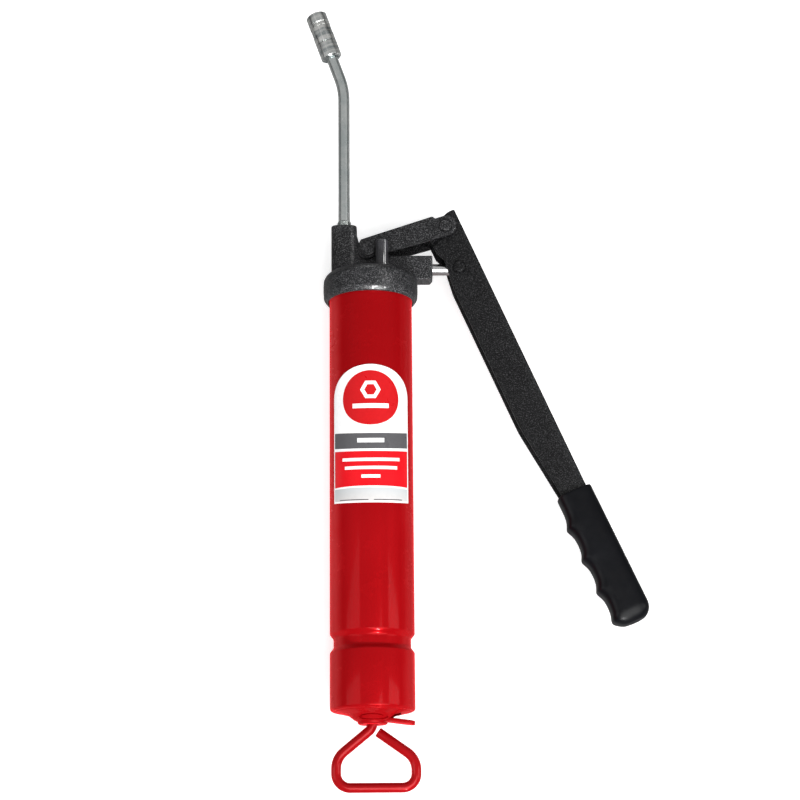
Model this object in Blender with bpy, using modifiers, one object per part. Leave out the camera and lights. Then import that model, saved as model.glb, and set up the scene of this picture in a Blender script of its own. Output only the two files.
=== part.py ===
"""Lever-action grease gun for a 400 g cartridge, lying on its back on a bench.

Every piece is drawn on the upright gun: x runs from the barrel axis towards the lever, z runs up the
barrel from its bottom rim towards the coupler, and -y is the front. One root empty lays the gun down,
so the barrel runs along +Y, the lever is at +X and the front looks up (+Z). Units are metres.
"""
from math import atan2, cos, exp, hypot, pi, radians, sin, tan

import bmesh
import bpy
from mathutils import Matrix, Vector

# ---------------------------------------------------------------- driving dimensions
GAP = 0.0003                 # clearance kept between pieces that touch
GUN_X = -0.07067             # where the barrel axis lies, so the origin is the middle of the footprint
GUN_Y = -0.22397

BARREL_R = 0.0285
BARREL_WALL = 0.0015
BARREL_TOP = 0.2960
GROOVE_Z = 0.0455            # middle of the rolled groove that stops the follower
GROOVE_DEPTH = 0.0025
GROOVE_FLAT = 0.0050
GROOVE_TAPER = 0.0045
BOTTOM_LIP = 0.0014          # the rim rolled in under the end cap

COLLAR_R = 0.0327
COLLAR_BOTTOM = 0.2843
HEAD_TOP = 0.3044            # flat top of the collar
HEAD_CEILING = 0.2986        # top of the chamber above the barrel

PUMP_Z = 0.3085              # plunger axis
PUMP_BLOCK_END = 0.0432
PUMP_BLOCK_LOW = 0.2996
PUMP_BLOCK_HIGH = 0.3169
PUMP_BLOCK_HALF = 0.0066     # half its depth, between the lever's flanges
PLUNGER_R = 0.0040
PLUNGER_LENGTH = 0.0630      # tip to pivot
SEAL_POCKET_R = 0.0057
SEAL_POCKET_DEPTH = 0.0067

OUTLET_X = -0.0182
OUTLET_HALF = 0.0089
OUTLET_TOP = 0.3391
LUG_HALF = 0.0080
BALL_Z = 0.3180
BALL_R = 0.0028

LINK_PIVOT = (-0.0013, 0.3193)
LEVER_PIVOT = (0.0524, 0.3370)
PLUNGER_PIVOT = (0.0618, 0.3074)
LEVER_ANGLE = radians(23.7)  # lever to barrel
SHEET = 0.0019               # lever's steel
LEVER_HALF = 0.0088
LINK_SHEET = 0.0016
LINK_HALF = LEVER_HALF + GAP + LINK_SHEET
LEVER_BACK = 0.0107          # lever pivot to the lever's outer face
LEVER_FRONT = 0.0133         # lever pivot to the flanges' free edges
LEVER_TOP = 0.0092
LEVER_END = 0.2960
TAPER_START = 0.1520
TAPER_END = 0.2045
TAPERED_FRONT = 0.0075
EYE_R = 0.0055
EYE_HOLE_R = 0.00375
EYE_HALF = 0.0040

GRIP_START = 0.2070
GRIP_END = 0.3045
GRIP_HALF_DEPTH = 0.0118
GRIP_MIDDLE = 0.0020
GRIP_BACK = 0.0145
GRIP_FRONT = 0.0100
GRIP_BUMP = 0.0029
GRIP_PITCH = 0.0235          # from one finger ridge to the next
GRIP_DOME = 0.0100           # length of the rounded end
GRIP_FIRST_RIDGE = 0.0219    # from the grip's top
GRIP_SIDES = 18
GRIP_STEPS_PER_PITCH = 7

VALVE_X = 0.0081
VALVE_FRONT = 0.0158
VALVE_R = 0.0044
VALVE_TOP = 0.3247

PIPE_R = 0.0040
PIPE_BORE_R = 0.0020
PIPE_BOTTOM = 0.3314
PIPE_THREAD_R = 0.00475
PIPE_THREAD_TOP = 0.3438
PIPE_BEND_Z = 0.4432
PIPE_BEND_R = 0.0500
COUPLER_TILT = radians(19.4)
COUPLER_START = 0.0249       # from the pipe's bend along the tilted axis
COUPLER_LENGTH = 0.0349
COUPLER_R = 0.0073
COUPLER_SPLIT = 0.0369       # where the sleeve meets the body

ROD_R = 0.0033
ROD_TOP = 0.2890
HANDLE_LOW = -0.0505
HANDLE_LEFT = -0.0244
HANDLE_RIGHT = 0.0288
FOLLOWER_BACK = 0.2760
SPRING_COIL_R = 0.0230
SPRING_WIRE_R = 0.0011
PLATE_ANGLE = radians(7.5)   # how far the rod lock plate is cocked
PLATE_PIVOT = (-0.0096, -0.0029)
PLATE_THICK = 0.0024

LABEL_INNER_R = 0.02865
LABEL_THICK = 0.00020
LABEL_HALF_ANGLE = radians(62)
LABEL_LOW = 0.1365
LABEL_ARCH = 0.2112
LABEL_HIGH = 0.2332


# ---------------------------------------------------------------- scene, materials and helpers
for old in list(bpy.data.objects):
    bpy.data.objects.remove(old, do_unlink=True)

gun = bpy.data.collections.new("grease_gun")
cutters = bpy.data.collections.new("cutters")
bpy.context.scene.collection.children.link(gun)
bpy.context.scene.collection.children.link(cutters)


def material(name, color, roughness, metallic):
    made = bpy.data.materials.new(name)
    made.use_nodes = True
    made.diffuse_color = (*color, 1.0)
    shader = made.node_tree.nodes["Principled BSDF"]
    shader.inputs["Base Color"].default_value = (*color, 1.0)
    shader.inputs["Roughness"].default_value = roughness
    shader.inputs["Metallic"].default_value = metallic
    return made


RED = material("red_paint", (0.50, 0.008, 0.012), 0.25, 0.0)
HAMMERTONE = material("black_hammertone", (0.035, 0.037, 0.040), 0.45, 0.3)
ZINC = material("zinc_plate", (0.60, 0.63, 0.65), 0.30, 1.0)
CHROME = material("plunger_chrome", (0.80, 0.80, 0.82), 0.08, 1.0)
SPRING_STEEL = material("spring_steel", (0.32, 0.32, 0.34), 0.40, 1.0)
VINYL = material("black_vinyl", (0.012, 0.012, 0.013), 0.42, 0.0)
RUBBER = material("nitrile_rubber", (0.020, 0.020, 0.020), 0.75, 0.0)
LABEL_FILM = material("label_film", (0.80, 0.80, 0.80), 0.35, 0.0)


def empty(name, parent, location=(0, 0, 0), rotation=(0, 0, 0)):
    made = bpy.data.objects.new(name, None)
    made.empty_display_size = 0.01
    made.parent = parent
    made.location = location
    made.rotation_euler = rotation
    gun.objects.link(made)
    return made


def add(name, mesh, parent, mat=None, location=(0, 0, 0), rotation=(0, 0, 0)):
    """A part with a material, or a cutter without one."""
    made = bpy.data.objects.new(name, mesh)
    made.parent = parent
    made.location = location
    made.rotation_euler = rotation
    if mat is None:
        made.hide_render = True
        made.display_type = "WIRE"
        cutters.objects.link(made)
    else:
        mesh.materials.append(mat)
        gun.objects.link(made)
    return made


def turned(name, profile, parent, mat=None, steps=48, ring=True, location=(0, 0, 0), rotation=(0, 0, 0)):
    """Turn (radius, height) points round the local z axis; they run down the outer side first."""
    mesh = bpy.data.meshes.new(name)
    edges = [(i, i + 1) for i in range(len(profile) - 1)]
    if ring:
        edges.append((len(profile) - 1, 0))
    mesh.from_pydata([(r, 0.0, z) for r, z in profile], edges, [])
    made = add(name, mesh, parent, mat, location, rotation)
    screw = made.modifiers.new("turn", "SCREW")
    screw.steps = steps
    screw.render_steps = steps
    screw.use_merge_vertices = True
    screw.merge_threshold = 0.00001
    screw.use_smooth_shade = True
    return made


def rod_profile(radius, low, high, chamfer=0.0):
    """A solid bar's profile, from the axis at its top to the axis at its bottom."""
    if chamfer == 0.0:
        return [(0, high), (radius, high), (radius, low), (0, low)]
    return [(0, high), (radius - chamfer, high), (radius, high - chamfer),
            (radius, low + chamfer), (radius - chamfer, low), (0, low)]


def tube_profile(inner, outer, low, high):
    return [(outer, high), (outer, low), (inner, low), (inner, high)]


def bar(name, radius, low, high, parent, mat=None, steps=24, chamfer=0.0, **place):
    return turned(name, rod_profile(radius, low, high, chamfer), parent, mat, steps, False, **place)


def tube(name, inner, outer, low, high, parent, mat=None, steps=32, **place):
    return turned(name, tube_profile(inner, outer, low, high), parent, mat, steps, True, **place)


def modify(target, kind, tool, operation, solver="EXACT"):
    boolean = target.modifiers.new(kind, "BOOLEAN")
    boolean.operation = operation
    boolean.solver = solver
    boolean.object = tool


def cut(target, *tools, solver="EXACT"):
    for tool in tools:
        modify(target, "cut", tool, "DIFFERENCE", solver)


def join(target, *tools):
    for tool in tools:
        modify(target, "join", tool, "UNION")


def round_edges(target, width, segments=2, angle=40):
    bevel = target.modifiers.new("round_edges", "BEVEL")
    bevel.width = width
    bevel.segments = segments
    bevel.limit_method = "ANGLE"
    bevel.angle_limit = radians(angle)


def fillet(corners, closed, arc_step=radians(15)):
    """2D points of a path whose corners (a, b, radius) are rounded with arcs."""
    points = []
    count = len(corners)
    for i, (a, b, radius) in enumerate(corners):
        corner = Vector((a, b))
        if radius == 0 or (not closed and i in (0, count - 1)):
            points.append(corner)
            continue
        before = (Vector(corners[i - 1][:2]) - corner).normalized()
        after = (Vector(corners[(i + 1) % count][:2]) - corner).normalized()
        half = before.angle(after) / 2
        centre = corner + (before + after).normalized() * (radius / sin(half))
        start = corner + before * (radius / tan(half)) - centre
        sweep = start.angle_signed(corner + after * (radius / tan(half)) - centre)
        steps = max(2, round(abs(sweep) / arc_step))
        for k in range(steps + 1):
            turn = Matrix.Rotation(-sweep * k / steps, 2)
            points.append(centre + turn @ start)
    return points


def solid_from_curve(curve, name, turn):
    """The evaluated curve as a closed mesh, turned by a matrix."""
    holder = bpy.data.objects.new(name, curve)
    bpy.context.scene.collection.objects.link(holder)
    graph = bpy.context.evaluated_depsgraph_get()
    mesh = bpy.data.meshes.new_from_object(holder.evaluated_get(graph))
    bpy.data.objects.remove(holder, do_unlink=True)
    shape = bmesh.new()
    shape.from_mesh(mesh)
    bmesh.ops.remove_doubles(shape, verts=shape.verts, dist=0.000001)
    bmesh.ops.recalc_face_normals(shape, faces=shape.faces)
    bmesh.ops.transform(shape, matrix=turn, verts=shape.verts)
    shape.to_mesh(mesh)
    shape.free()
    mesh.materials.clear()
    return mesh


STANDING = Matrix.Rotation(radians(90), 4, "X")     # an outline drawn in x, z with its thickness along y
FLAT = Matrix.Identity(4)                           # an outline drawn in x, y with its thickness along z


def plate(name, corners, half, parent, mat=None, turn=STANDING, arc_step=radians(15), **place):
    """A flat outline with rounded corners, 2 * half thick."""
    curve = bpy.data.curves.new(name, "CURVE")
    curve.dimensions = "2D"
    curve.fill_mode = "BOTH"
    curve.extrude = half
    spline = curve.splines.new("POLY")
    points = fillet(corners, True, arc_step)
    spline.points.add(len(points) - 1)
    for point, place_2d in zip(spline.points, points):
        point.co = (place_2d.x, place_2d.y, 0, 1)
    spline.use_cyclic_u = True
    return add(name, solid_from_curve(curve, name, turn), parent, mat, **place)


def wire(name, points, radius, parent, mat=None, resolution=2, **place):
    """A round wire along 3D points."""
    curve = bpy.data.curves.new(name, "CURVE")
    curve.dimensions = "3D"
    curve.bevel_depth = radius
    curve.bevel_resolution = resolution
    curve.use_fill_caps = True
    spline = curve.splines.new("POLY")
    spline.points.add(len(points) - 1)
    for point, spot in zip(spline.points, points):
        point.co = (*spot, 1)
    return add(name, solid_from_curve(curve, name, FLAT), parent, mat, **place)


def coil(name, coil_r, wire_r, low, high, turns, parent, per_turn=10, **place):
    """A compression spring round the local z axis."""
    points = []
    for k in range(turns * per_turn + 1):
        angle = 2 * pi * k / per_turn
        height = low + (high - low) * k / (turns * per_turn)
        points.append((coil_r * cos(angle), coil_r * sin(angle), height))
    return wire(name, points, wire_r, parent, SPRING_STEEL, resolution=1, **place)


def box(name, low, high, parent, mat=None):
    """A box between two corners, with its origin in its middle."""
    low = Vector(low)
    high = Vector(high)
    shape = bmesh.new()
    bmesh.ops.create_cube(shape, size=1.0, matrix=Matrix.Diagonal((*(high - low), 1)))
    mesh = bpy.data.meshes.new(name)
    shape.to_mesh(mesh)
    shape.free()
    return add(name, mesh, parent, mat, location=(low + high) / 2)


def hexagon(name, across_flats, low, high, parent, mat=None, **place):
    """A six-sided prism along local z, with a corner on its x axis."""
    shape = bmesh.new()
    corner_r = across_flats / 2 / cos(radians(30))
    middle = Matrix.Translation((0, 0, (low + high) / 2))
    bmesh.ops.create_cone(shape, cap_ends=True, segments=6, radius1=corner_r, radius2=corner_r,
                          depth=high - low, matrix=middle @ Matrix.Rotation(radians(30), 4, "Z"))
    mesh = bpy.data.meshes.new(name)
    shape.to_mesh(mesh)
    shape.free()
    return add(name, mesh, parent, mat, **place)


# local z turned to point along y (front to back) or along x (towards the lever)
ALONG_Y = (radians(-90), 0, 0)
ALONG_X = (0, radians(90), 0)

# ---------------------------------------------------------------- root and joint axes
root = empty("gun_lying_down", None, (GUN_X, GUN_Y, COLLAR_R), (radians(-90), 0, 0))
link_length = hypot(LEVER_PIVOT[0] - LINK_PIVOT[0], LEVER_PIVOT[1] - LINK_PIVOT[1])
link_angle = atan2(LEVER_PIVOT[1] - LINK_PIVOT[1], LEVER_PIVOT[0] - LINK_PIVOT[0])
link_axis = empty("link_axis", root, (LINK_PIVOT[0], 0, LINK_PIVOT[1]), (0, -link_angle, 0))
lever_axis = empty("lever_axis", root, (LEVER_PIVOT[0], 0, LEVER_PIVOT[1]), (0, -LEVER_ANGLE, 0))
plunger_axis = empty("plunger_axis", root, (PLUNGER_PIVOT[0], 0, PUMP_Z))
coupler_axis = empty("coupler_axis", root, (OUTLET_X, 0, PIPE_BEND_Z), (0, -COUPLER_TILT, 0))
plate_axis = empty("plate_axis", root, (PLATE_PIVOT[0], 0, PLATE_PIVOT[1]), (0, PLATE_ANGLE, 0))
valve_axis = empty("valve_axis", root, (VALVE_X, -VALVE_FRONT, 0))
outlet_axis = empty("outlet_axis", root, (OUTLET_X, 0, 0))

# the plunger's pivot, seen from the lever's
plunger_from_lever = Matrix.Rotation(-LEVER_ANGLE, 2) @ Vector(
    (PLUNGER_PIVOT[0] - LEVER_PIVOT[0], PLUNGER_PIVOT[1] - LEVER_PIVOT[1]))


# ---------------------------------------------------------------- pump head
def pump_head():
    """The casting: threaded collar, outlet boss, pump block and the lug that carries the link."""
    collar = [(0, HEAD_TOP), (0.0268, HEAD_TOP), (0.0290, HEAD_TOP - 0.0005), (0.0312, HEAD_TOP - 0.0022),
              (0.0325, HEAD_TOP - 0.0047), (COLLAR_R, HEAD_TOP - 0.0075), (COLLAR_R, HEAD_TOP - 0.0125),
              (0.0314, COLLAR_BOTTOM + 0.0008), (0.0308, COLLAR_BOTTOM),
              (BARREL_R + GAP, COLLAR_BOTTOM), (BARREL_R + GAP, HEAD_CEILING), (0, HEAD_CEILING)]
    head = turned("pump_head", collar, root, HAMMERTONE, steps=48, ring=False)

    block = plate("pump_block", [(OUTLET_X - 0.0017, PUMP_BLOCK_HIGH, 0), (PUMP_BLOCK_END, PUMP_BLOCK_HIGH, 0),
                                 (PUMP_BLOCK_END, PUMP_BLOCK_LOW + 0.0024, 0),
                                 (PUMP_BLOCK_END - 0.0018, PUMP_BLOCK_LOW, 0),
                                 (OUTLET_X - 0.0017, PUMP_BLOCK_LOW, 0)], PUMP_BLOCK_HALF, root)
    round_edges(block, 0.0009, segments=1, angle=30)
    boss = plate("outlet_boss", [(-OUTLET_HALF, -OUTLET_HALF, 0.0050), (OUTLET_HALF, -OUTLET_HALF, 0.0050),
                                 (OUTLET_HALF, OUTLET_HALF, 0.0050), (-OUTLET_HALF, OUTLET_HALF, 0.0050)],
                 (OUTLET_TOP - 0.3020) / 2, root, turn=FLAT, arc_step=radians(22),
                 location=(OUTLET_X, 0, (OUTLET_TOP + 0.3020) / 2))
    round_edges(boss, 0.0015, segments=1)
    right = OUTLET_X + OUTLET_HALF
    pivot_x, pivot_z = LINK_PIVOT
    lug = plate("link_lug", [(right - 0.004, 0.3320, 0), (right, 0.3320, 0.0015), (-0.0079, 0.3268, 0.003),
                             (pivot_x - 0.0058, pivot_z + 0.0031, 0.001), (pivot_x - 0.0030, pivot_z + 0.0052, 0.002),
                             (pivot_x + 0.0062, pivot_z + 0.0052, 0.0050), (pivot_x + 0.0120, 0.3030, 0),
                             (right - 0.004, 0.3030, 0)], LUG_HALF, root)
    round_edges(lug, 0.0008, segments=1)
    join(head, block, boss, lug)

    pump_bore = bar("pump_bore", PLUNGER_R + GAP, OUTLET_X - 0.0015, PUMP_BLOCK_END + 0.01, root,
                    location=(0, 0, PUMP_Z), rotation=ALONG_X)
    pocket = bar("seal_pocket", SEAL_POCKET_R, PUMP_BLOCK_END - SEAL_POCKET_DEPTH, PUMP_BLOCK_END + 0.01, root,
                 location=(0, 0, PUMP_Z), rotation=ALONG_X)
    outlet = turned("outlet_bore", [(0, 0.345), (PIPE_THREAD_R + GAP, 0.345), (PIPE_THREAD_R + GAP, 0.3310),
                                    (0.0039, 0.3310), (0.0039, 0.3166), (0.0022, 0.3150), (0.0022, PUMP_Z - 0.0013),
                                    (0, PUMP_Z - 0.0013)], outlet_axis, steps=24, ring=False)
    inlet = bar("inlet_port", 0.0025, 0.2950, PUMP_Z, root, location=(0.0060, 0, 0))
    bolt_hole = bar("bolt_hole", 0.0028, -0.02, 0.02, root,
                    location=(LINK_PIVOT[0], 0, LINK_PIVOT[1]), rotation=ALONG_Y)
    valve_hole = bar("valve_hole", 0.0029, 0.2950, 0.3100, valve_axis)
    # EXACT leaves open edges where these narrow passages cross, so they use the other solver
    cut(head, pump_bore, pocket, outlet, inlet, bolt_hole, valve_hole, solver="MANIFOLD")
    weld = head.modifiers.new("weld", "WELD")
    weld.merge_threshold = 0.000005


def head_internals():
    """Gasket, outlet check valve and the plunger's seal."""
    tube("head_gasket", 0.0268, BARREL_R, BARREL_TOP + GAP, HEAD_CEILING - GAP, root, RUBBER, steps=36)
    ball = [(BALL_R * sin(pi * k / 9), BALL_Z + BALL_R * cos(pi * k / 9)) for k in range(10)]
    turned("outlet_check_ball", ball, outlet_axis, CHROME, steps=16, ring=False)
    coil("outlet_check_spring", 0.0021, 0.00035, BALL_Z + BALL_R + 0.0007, PIPE_BOTTOM - 0.0007, 4, outlet_axis,
         per_turn=8)
    start = PUMP_BLOCK_END - SEAL_POCKET_DEPTH
    place = {"location": (0, 0, PUMP_Z), "rotation": ALONG_X}
    tube("plunger_seal", PLUNGER_R + GAP, SEAL_POCKET_R - GAP, start + GAP, start + 0.0040, root, RUBBER, **place)
    tube("plunger_seal_retainer", PLUNGER_R + GAP, SEAL_POCKET_R - GAP, start + 0.0043, PUMP_BLOCK_END, root,
         ZINC, **place)


def air_bleed_valve():
    """The upright valve in front of the link: press its pin to let trapped air out of the barrel."""
    body = [(0.0021, VALVE_TOP), (VALVE_R - 0.0005, VALVE_TOP), (VALVE_R, VALVE_TOP - 0.0005),
            (VALVE_R, HEAD_TOP + GAP), (0.0026, HEAD_TOP + GAP), (0.0026, 0.2990), (0.0008, 0.2990),
            (0.0008, 0.3010), (0.0021, 0.3010)]
    turned("air_bleed_body", body, valve_axis, HAMMERTONE, steps=24)
    bar("air_bleed_pin", 0.0017, 0.3120, VALVE_TOP - GAP, valve_axis, ZINC, steps=16, chamfer=0.0003)
    coil("air_bleed_spring", 0.0013, 0.00025, 0.3014, 0.3114, 4, valve_axis, per_turn=7)


# ---------------------------------------------------------------- delivery pipe and coupler
def extension_pipe():
    """Steel delivery pipe, threaded into the outlet boss and bent towards the coupler."""
    end = COUPLER_START + 0.0090
    top = (OUTLET_X - end * sin(COUPLER_TILT), PIPE_BEND_Z + end * cos(COUPLER_TILT))
    over = (OUTLET_X - (end + 0.01) * sin(COUPLER_TILT), PIPE_BEND_Z + (end + 0.01) * cos(COUPLER_TILT))

    def route(bottom, last):
        bent = fillet([(OUTLET_X, bottom, 0), (OUTLET_X, PIPE_BEND_Z, PIPE_BEND_R), (*last, 0)], False,
                      radians(4.9))
        return [(p.x, 0, p.y) for p in bent]

    pipe = wire("extension_pipe", route(PIPE_BOTTOM, top), PIPE_R, root, ZINC, resolution=4)
    thread = bar("pipe_thread", PIPE_THREAD_R, PIPE_BOTTOM, PIPE_THREAD_TOP, outlet_axis, chamfer=0.0004)
    join(pipe, thread)
    cut(pipe, wire("pipe_bore", route(PIPE_BOTTOM - 0.01, over), PIPE_BORE_R, root, resolution=2))


def coupler():
    """Grease coupler: body, nose sleeve, three gripping jaws and the sprung seal piston."""
    low = COUPLER_START
    tip = COUPLER_START + COUPLER_LENGTH
    split = COUPLER_SPLIT
    spigot = low + 0.0221
    body = [(0.0042, spigot), (0.0055, spigot), (0.0055, split), (COUPLER_R, split),
            (COUPLER_R, low + 0.0012), (COUPLER_R - 0.0014, low),
            (PIPE_R + GAP, low), (PIPE_R + GAP, low + 0.0093), (0.0015, low + 0.0093),
            (0.0015, low + 0.0160), (0.0042, low + 0.0160)]
    turned("coupler_body", body, coupler_axis, ZINC, steps=24)

    sleeve = [(0.0048, tip), (COUPLER_R - 0.0009, tip), (COUPLER_R, tip - 0.0008), (COUPLER_R, tip - 0.0072),
              (COUPLER_R - 0.0004, tip - 0.0076), (COUPLER_R - 0.0004, tip - 0.0082),
              (COUPLER_R, tip - 0.0086), (COUPLER_R, split + GAP), (0.0058, split + GAP),
              (0.0062, spigot + GAP), (0.0062, tip - 0.0028), (0.0048, tip - 0.0020)]
    made = turned("coupler_sleeve", sleeve, coupler_axis, ZINC, steps=24)
    for side in range(6):
        flat = box(f"sleeve_flat_{side + 1}", (0.00655, -0.008, tip - 0.0164), (0.02, 0.008, tip - 0.0100),
                   coupler_axis)
        flat.data.transform(Matrix.Translation(flat.location))
        flat.location = (0, 0, 0)
        flat.rotation_euler = (0, 0, radians(60 * side + 6))
        cut(made, flat)

    for number in range(3):
        middle = radians(120 * number + 30)
        half = radians(52)
        outline = [(r * cos(middle + a), r * sin(middle + a), 0)
                   for r, spread in ((0.0058, range(-4, 5)), (0.0036, range(4, -5, -1)))
                   for a in (half * k / 4 for k in spread)]
        jaw_low = spigot + 0.0044
        jaw_high = tip - 0.0032
        plate(f"coupler_jaw_{number + 1}", outline, (jaw_high - jaw_low) / 2, coupler_axis, SPRING_STEEL,
              turn=FLAT, location=(0, 0, (jaw_low + jaw_high) / 2))

    piston = [(0.0056, spigot + 0.0041), (0.0056, spigot + 0.0026), (0.0038, spigot + 0.0020),
              (0.0038, spigot - 0.0006), (0.0010, spigot - 0.0006), (0.0010, spigot + 0.0041)]
    turned("coupler_seal_piston", piston, coupler_axis, RUBBER, steps=24)
    coil("coupler_spring", 0.0031, 0.00035, low + 0.0165, spigot - 0.0011, 3, coupler_axis, per_turn=8)


# ---------------------------------------------------------------- link, lever and plunger
def link_channel():
    """Pressed U-channel, open side down, that ties the lever to the head."""
    top = 0.0094
    web = top - LINK_SHEET
    right = link_length + 0.0073
    web_end = link_length - 0.0065
    link = plate("link_channel", [(-0.0064, 0.0052, 0.0045), (-0.0024, top, 0.0006), (web_end, top, 0.0006),
                                  (web_end + 0.0014, 0.0073, 0.0008), (right, 0.0073, 0.0071),
                                  (right, -0.0074, 0.0071), (-0.0064, -0.0046, 0.0045)],
                 LINK_HALF, link_axis, HAMMERTONE)
    round_edges(link, 0.0004, segments=1)
    inside = LINK_HALF - LINK_SHEET
    reach = 0.05
    channel = box("link_inside", (-reach, -inside, -reach), (link_length + reach, inside, web), link_axis)
    front_end = box("link_web_end", (web_end, -inside, 0), (link_length + reach, inside, reach), link_axis)
    back_end = box("link_web_start", (-reach, -inside, 0), (-0.0026, inside, reach), link_axis)
    bolt = bar("link_bolt_hole", 0.0028, -reach, reach, link_axis, rotation=ALONG_Y)
    rivet = bar("link_rivet_hole", 0.0033, -reach, reach, link_axis, location=(link_length, 0, 0),
                rotation=ALONG_Y)
    cut(link, channel, front_end, back_end, bolt, rivet)


def link_fasteners():
    """The hexagon bolt and nut at the head, and the rivet with its spacer at the lever."""
    face = LINK_HALF + GAP
    at_head = {"location": (LINK_PIVOT[0], 0, LINK_PIVOT[1]), "rotation": ALONG_Y}
    bolt = bar("link_pivot_bolt", 0.0025, -face - 0.0020, face + 0.0055, root, HAMMERTONE, steps=20, **at_head)
    head = hexagon("bolt_hexagon", 0.0088, -face - 0.0038, -face, root,
                   location=at_head["location"], rotation=(radians(-90), radians(90), 0))
    round_edges(head, 0.0004, segments=1, angle=70)
    join(bolt, head)
    nut = hexagon("link_pivot_nut", 0.0080, face, face + 0.0042, root, HAMMERTONE,
                  location=at_head["location"], rotation=(radians(-90), radians(90), 0))
    cut(nut, bar("nut_hole", 0.0028, -0.03, 0.03, root, **at_head))
    rivet("link_lever_rivet", 0.0030, 0.0042, face, link_axis, (link_length, 0, 0))


def rivet(name, shank_r, head_r, half, parent, location):
    """A rivet across the channels, with a low round head on each side."""
    rise = 0.0016
    edge = half + 0.0009
    top = half + rise
    profile = [(0, top), (head_r * 0.62, top), (head_r * 0.90, edge + 0.0003), (head_r, edge), (head_r, half),
               (shank_r, half), (shank_r, -half), (head_r, -half), (head_r, -edge),
               (head_r * 0.90, -edge - 0.0003), (head_r * 0.62, -top), (0, -top)]
    return turned(name, profile, parent, HAMMERTONE, steps=18, ring=False, location=location, rotation=ALONG_Y)


def lever_channel():
    """Pressed U-channel with its open side towards the barrel, tapered where the grip starts."""
    corners = [(-0.0060, 0.0074, 0.0030), (0.0010, 0.0074, 0.0100), (0.0062, LEVER_TOP, 0.0100),
               (LEVER_BACK, LEVER_TOP, 0.0012), (LEVER_BACK, -LEVER_END, 0),
               (-TAPERED_FRONT, -LEVER_END, 0), (-TAPERED_FRONT, -TAPER_END, 0.02),
               (-LEVER_FRONT, -TAPER_START, 0.06), (-LEVER_FRONT, -0.0430, 0.03), (-0.0106, -0.0215, 0.005),
               (-0.0136, -0.0150, 0.001), (-0.0138, -0.0010, 0.0030)]
    lever = plate("lever_channel", corners, LEVER_HALF, lever_axis, HAMMERTONE)
    round_edges(lever, 0.0008, segments=1)
    inside = LEVER_HALF - SHEET
    channel = box("lever_inside", (-0.05, -inside, -0.35), (LEVER_BACK - SHEET, inside, 0.05), lever_axis)
    pivot = bar("lever_pivot_hole", 0.0033, -0.05, 0.05, lever_axis, rotation=ALONG_Y)
    pin = bar("lever_pin_hole", 0.0025, -0.05, 0.05, lever_axis, rotation=ALONG_Y,
              location=(plunger_from_lever.x, 0, plunger_from_lever.y))
    cut(lever, channel, pivot, pin)
    tube("lever_pivot_spacer", 0.0033, 0.0054, GAP - inside, inside - GAP, lever_axis, ZINC, steps=20,
         rotation=ALONG_Y)


def plunger_pivot():
    """The rivet that carries the plunger's eye between the lever's flanges, with a spacer on each side."""
    spot = (plunger_from_lever.x, 0, plunger_from_lever.y)
    inside = LEVER_HALF - SHEET
    rivet("plunger_rivet", 0.0022, 0.0040, LEVER_HALF + GAP, lever_axis, spot)
    for side, name in ((-1, "front"), (1, "back")):
        ends = sorted((side * (EYE_HALF + GAP), side * (inside - GAP)))
        tube(f"plunger_spacer_{name}", 0.0025, 0.0044, *ends, lever_axis, ZINC, steps=20, location=spot,
             rotation=ALONG_Y)


def pump_plunger():
    """Hard-chromed plunger with a cross-drilled eye. The eye is the linkage's open pivot."""
    plunger = bar("pump_plunger", PLUNGER_R, -PLUNGER_LENGTH, 0, plunger_axis, CHROME, steps=28, chamfer=0.0006,
                  rotation=ALONG_X)
    eye = bar("plunger_eye", EYE_R, -EYE_HALF, EYE_HALF, plunger_axis, steps=32, rotation=ALONG_Y)
    join(plunger, eye)
    cut(plunger, bar("plunger_eye_hole", EYE_HOLE_R, -0.02, 0.02, plunger_axis, rotation=ALONG_Y))


# ---------------------------------------------------------------- lever grip
def grip_front(along):
    """How far the finger side stands out: a narrow ridge before, between and after the fingers."""
    first = GRIP_START + GRIP_FIRST_RIDGE
    ridge = min(3, max(0, round((along - first) / GRIP_PITCH)))
    away = abs(along - first - ridge * GRIP_PITCH)
    return GRIP_FRONT + GRIP_BUMP * exp(-(away / 0.0046) ** 1.5)


def grip_section(along):
    """Corner points of the grip's rounded section at one place along the lever."""
    run = (along - GRIP_START) / (GRIP_END - GRIP_START)
    back = GRIP_BACK + 0.0011 * run
    front = grip_front(along)
    depth = GRIP_HALF_DEPTH * (0.97 + 0.05 * run)
    to_end = min(1.0, (GRIP_END - along) / GRIP_DOME)
    close = 0.40 + 0.60 * (1 - (1 - to_end) ** 2) ** 0.5
    ring = []
    for k in range(GRIP_SIDES):
        angle = 2 * pi * k / GRIP_SIDES
        across = abs(cos(angle)) ** 0.57
        deep = abs(sin(angle)) ** 0.57 * (1 if sin(angle) > 0 else -1)
        wide = across * (back - GRIP_MIDDLE) if cos(angle) > 0 else -across * (front + GRIP_MIDDLE)
        ring.append((GRIP_MIDDLE + wide * close, depth * close * deep, -along))
    return ring


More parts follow.
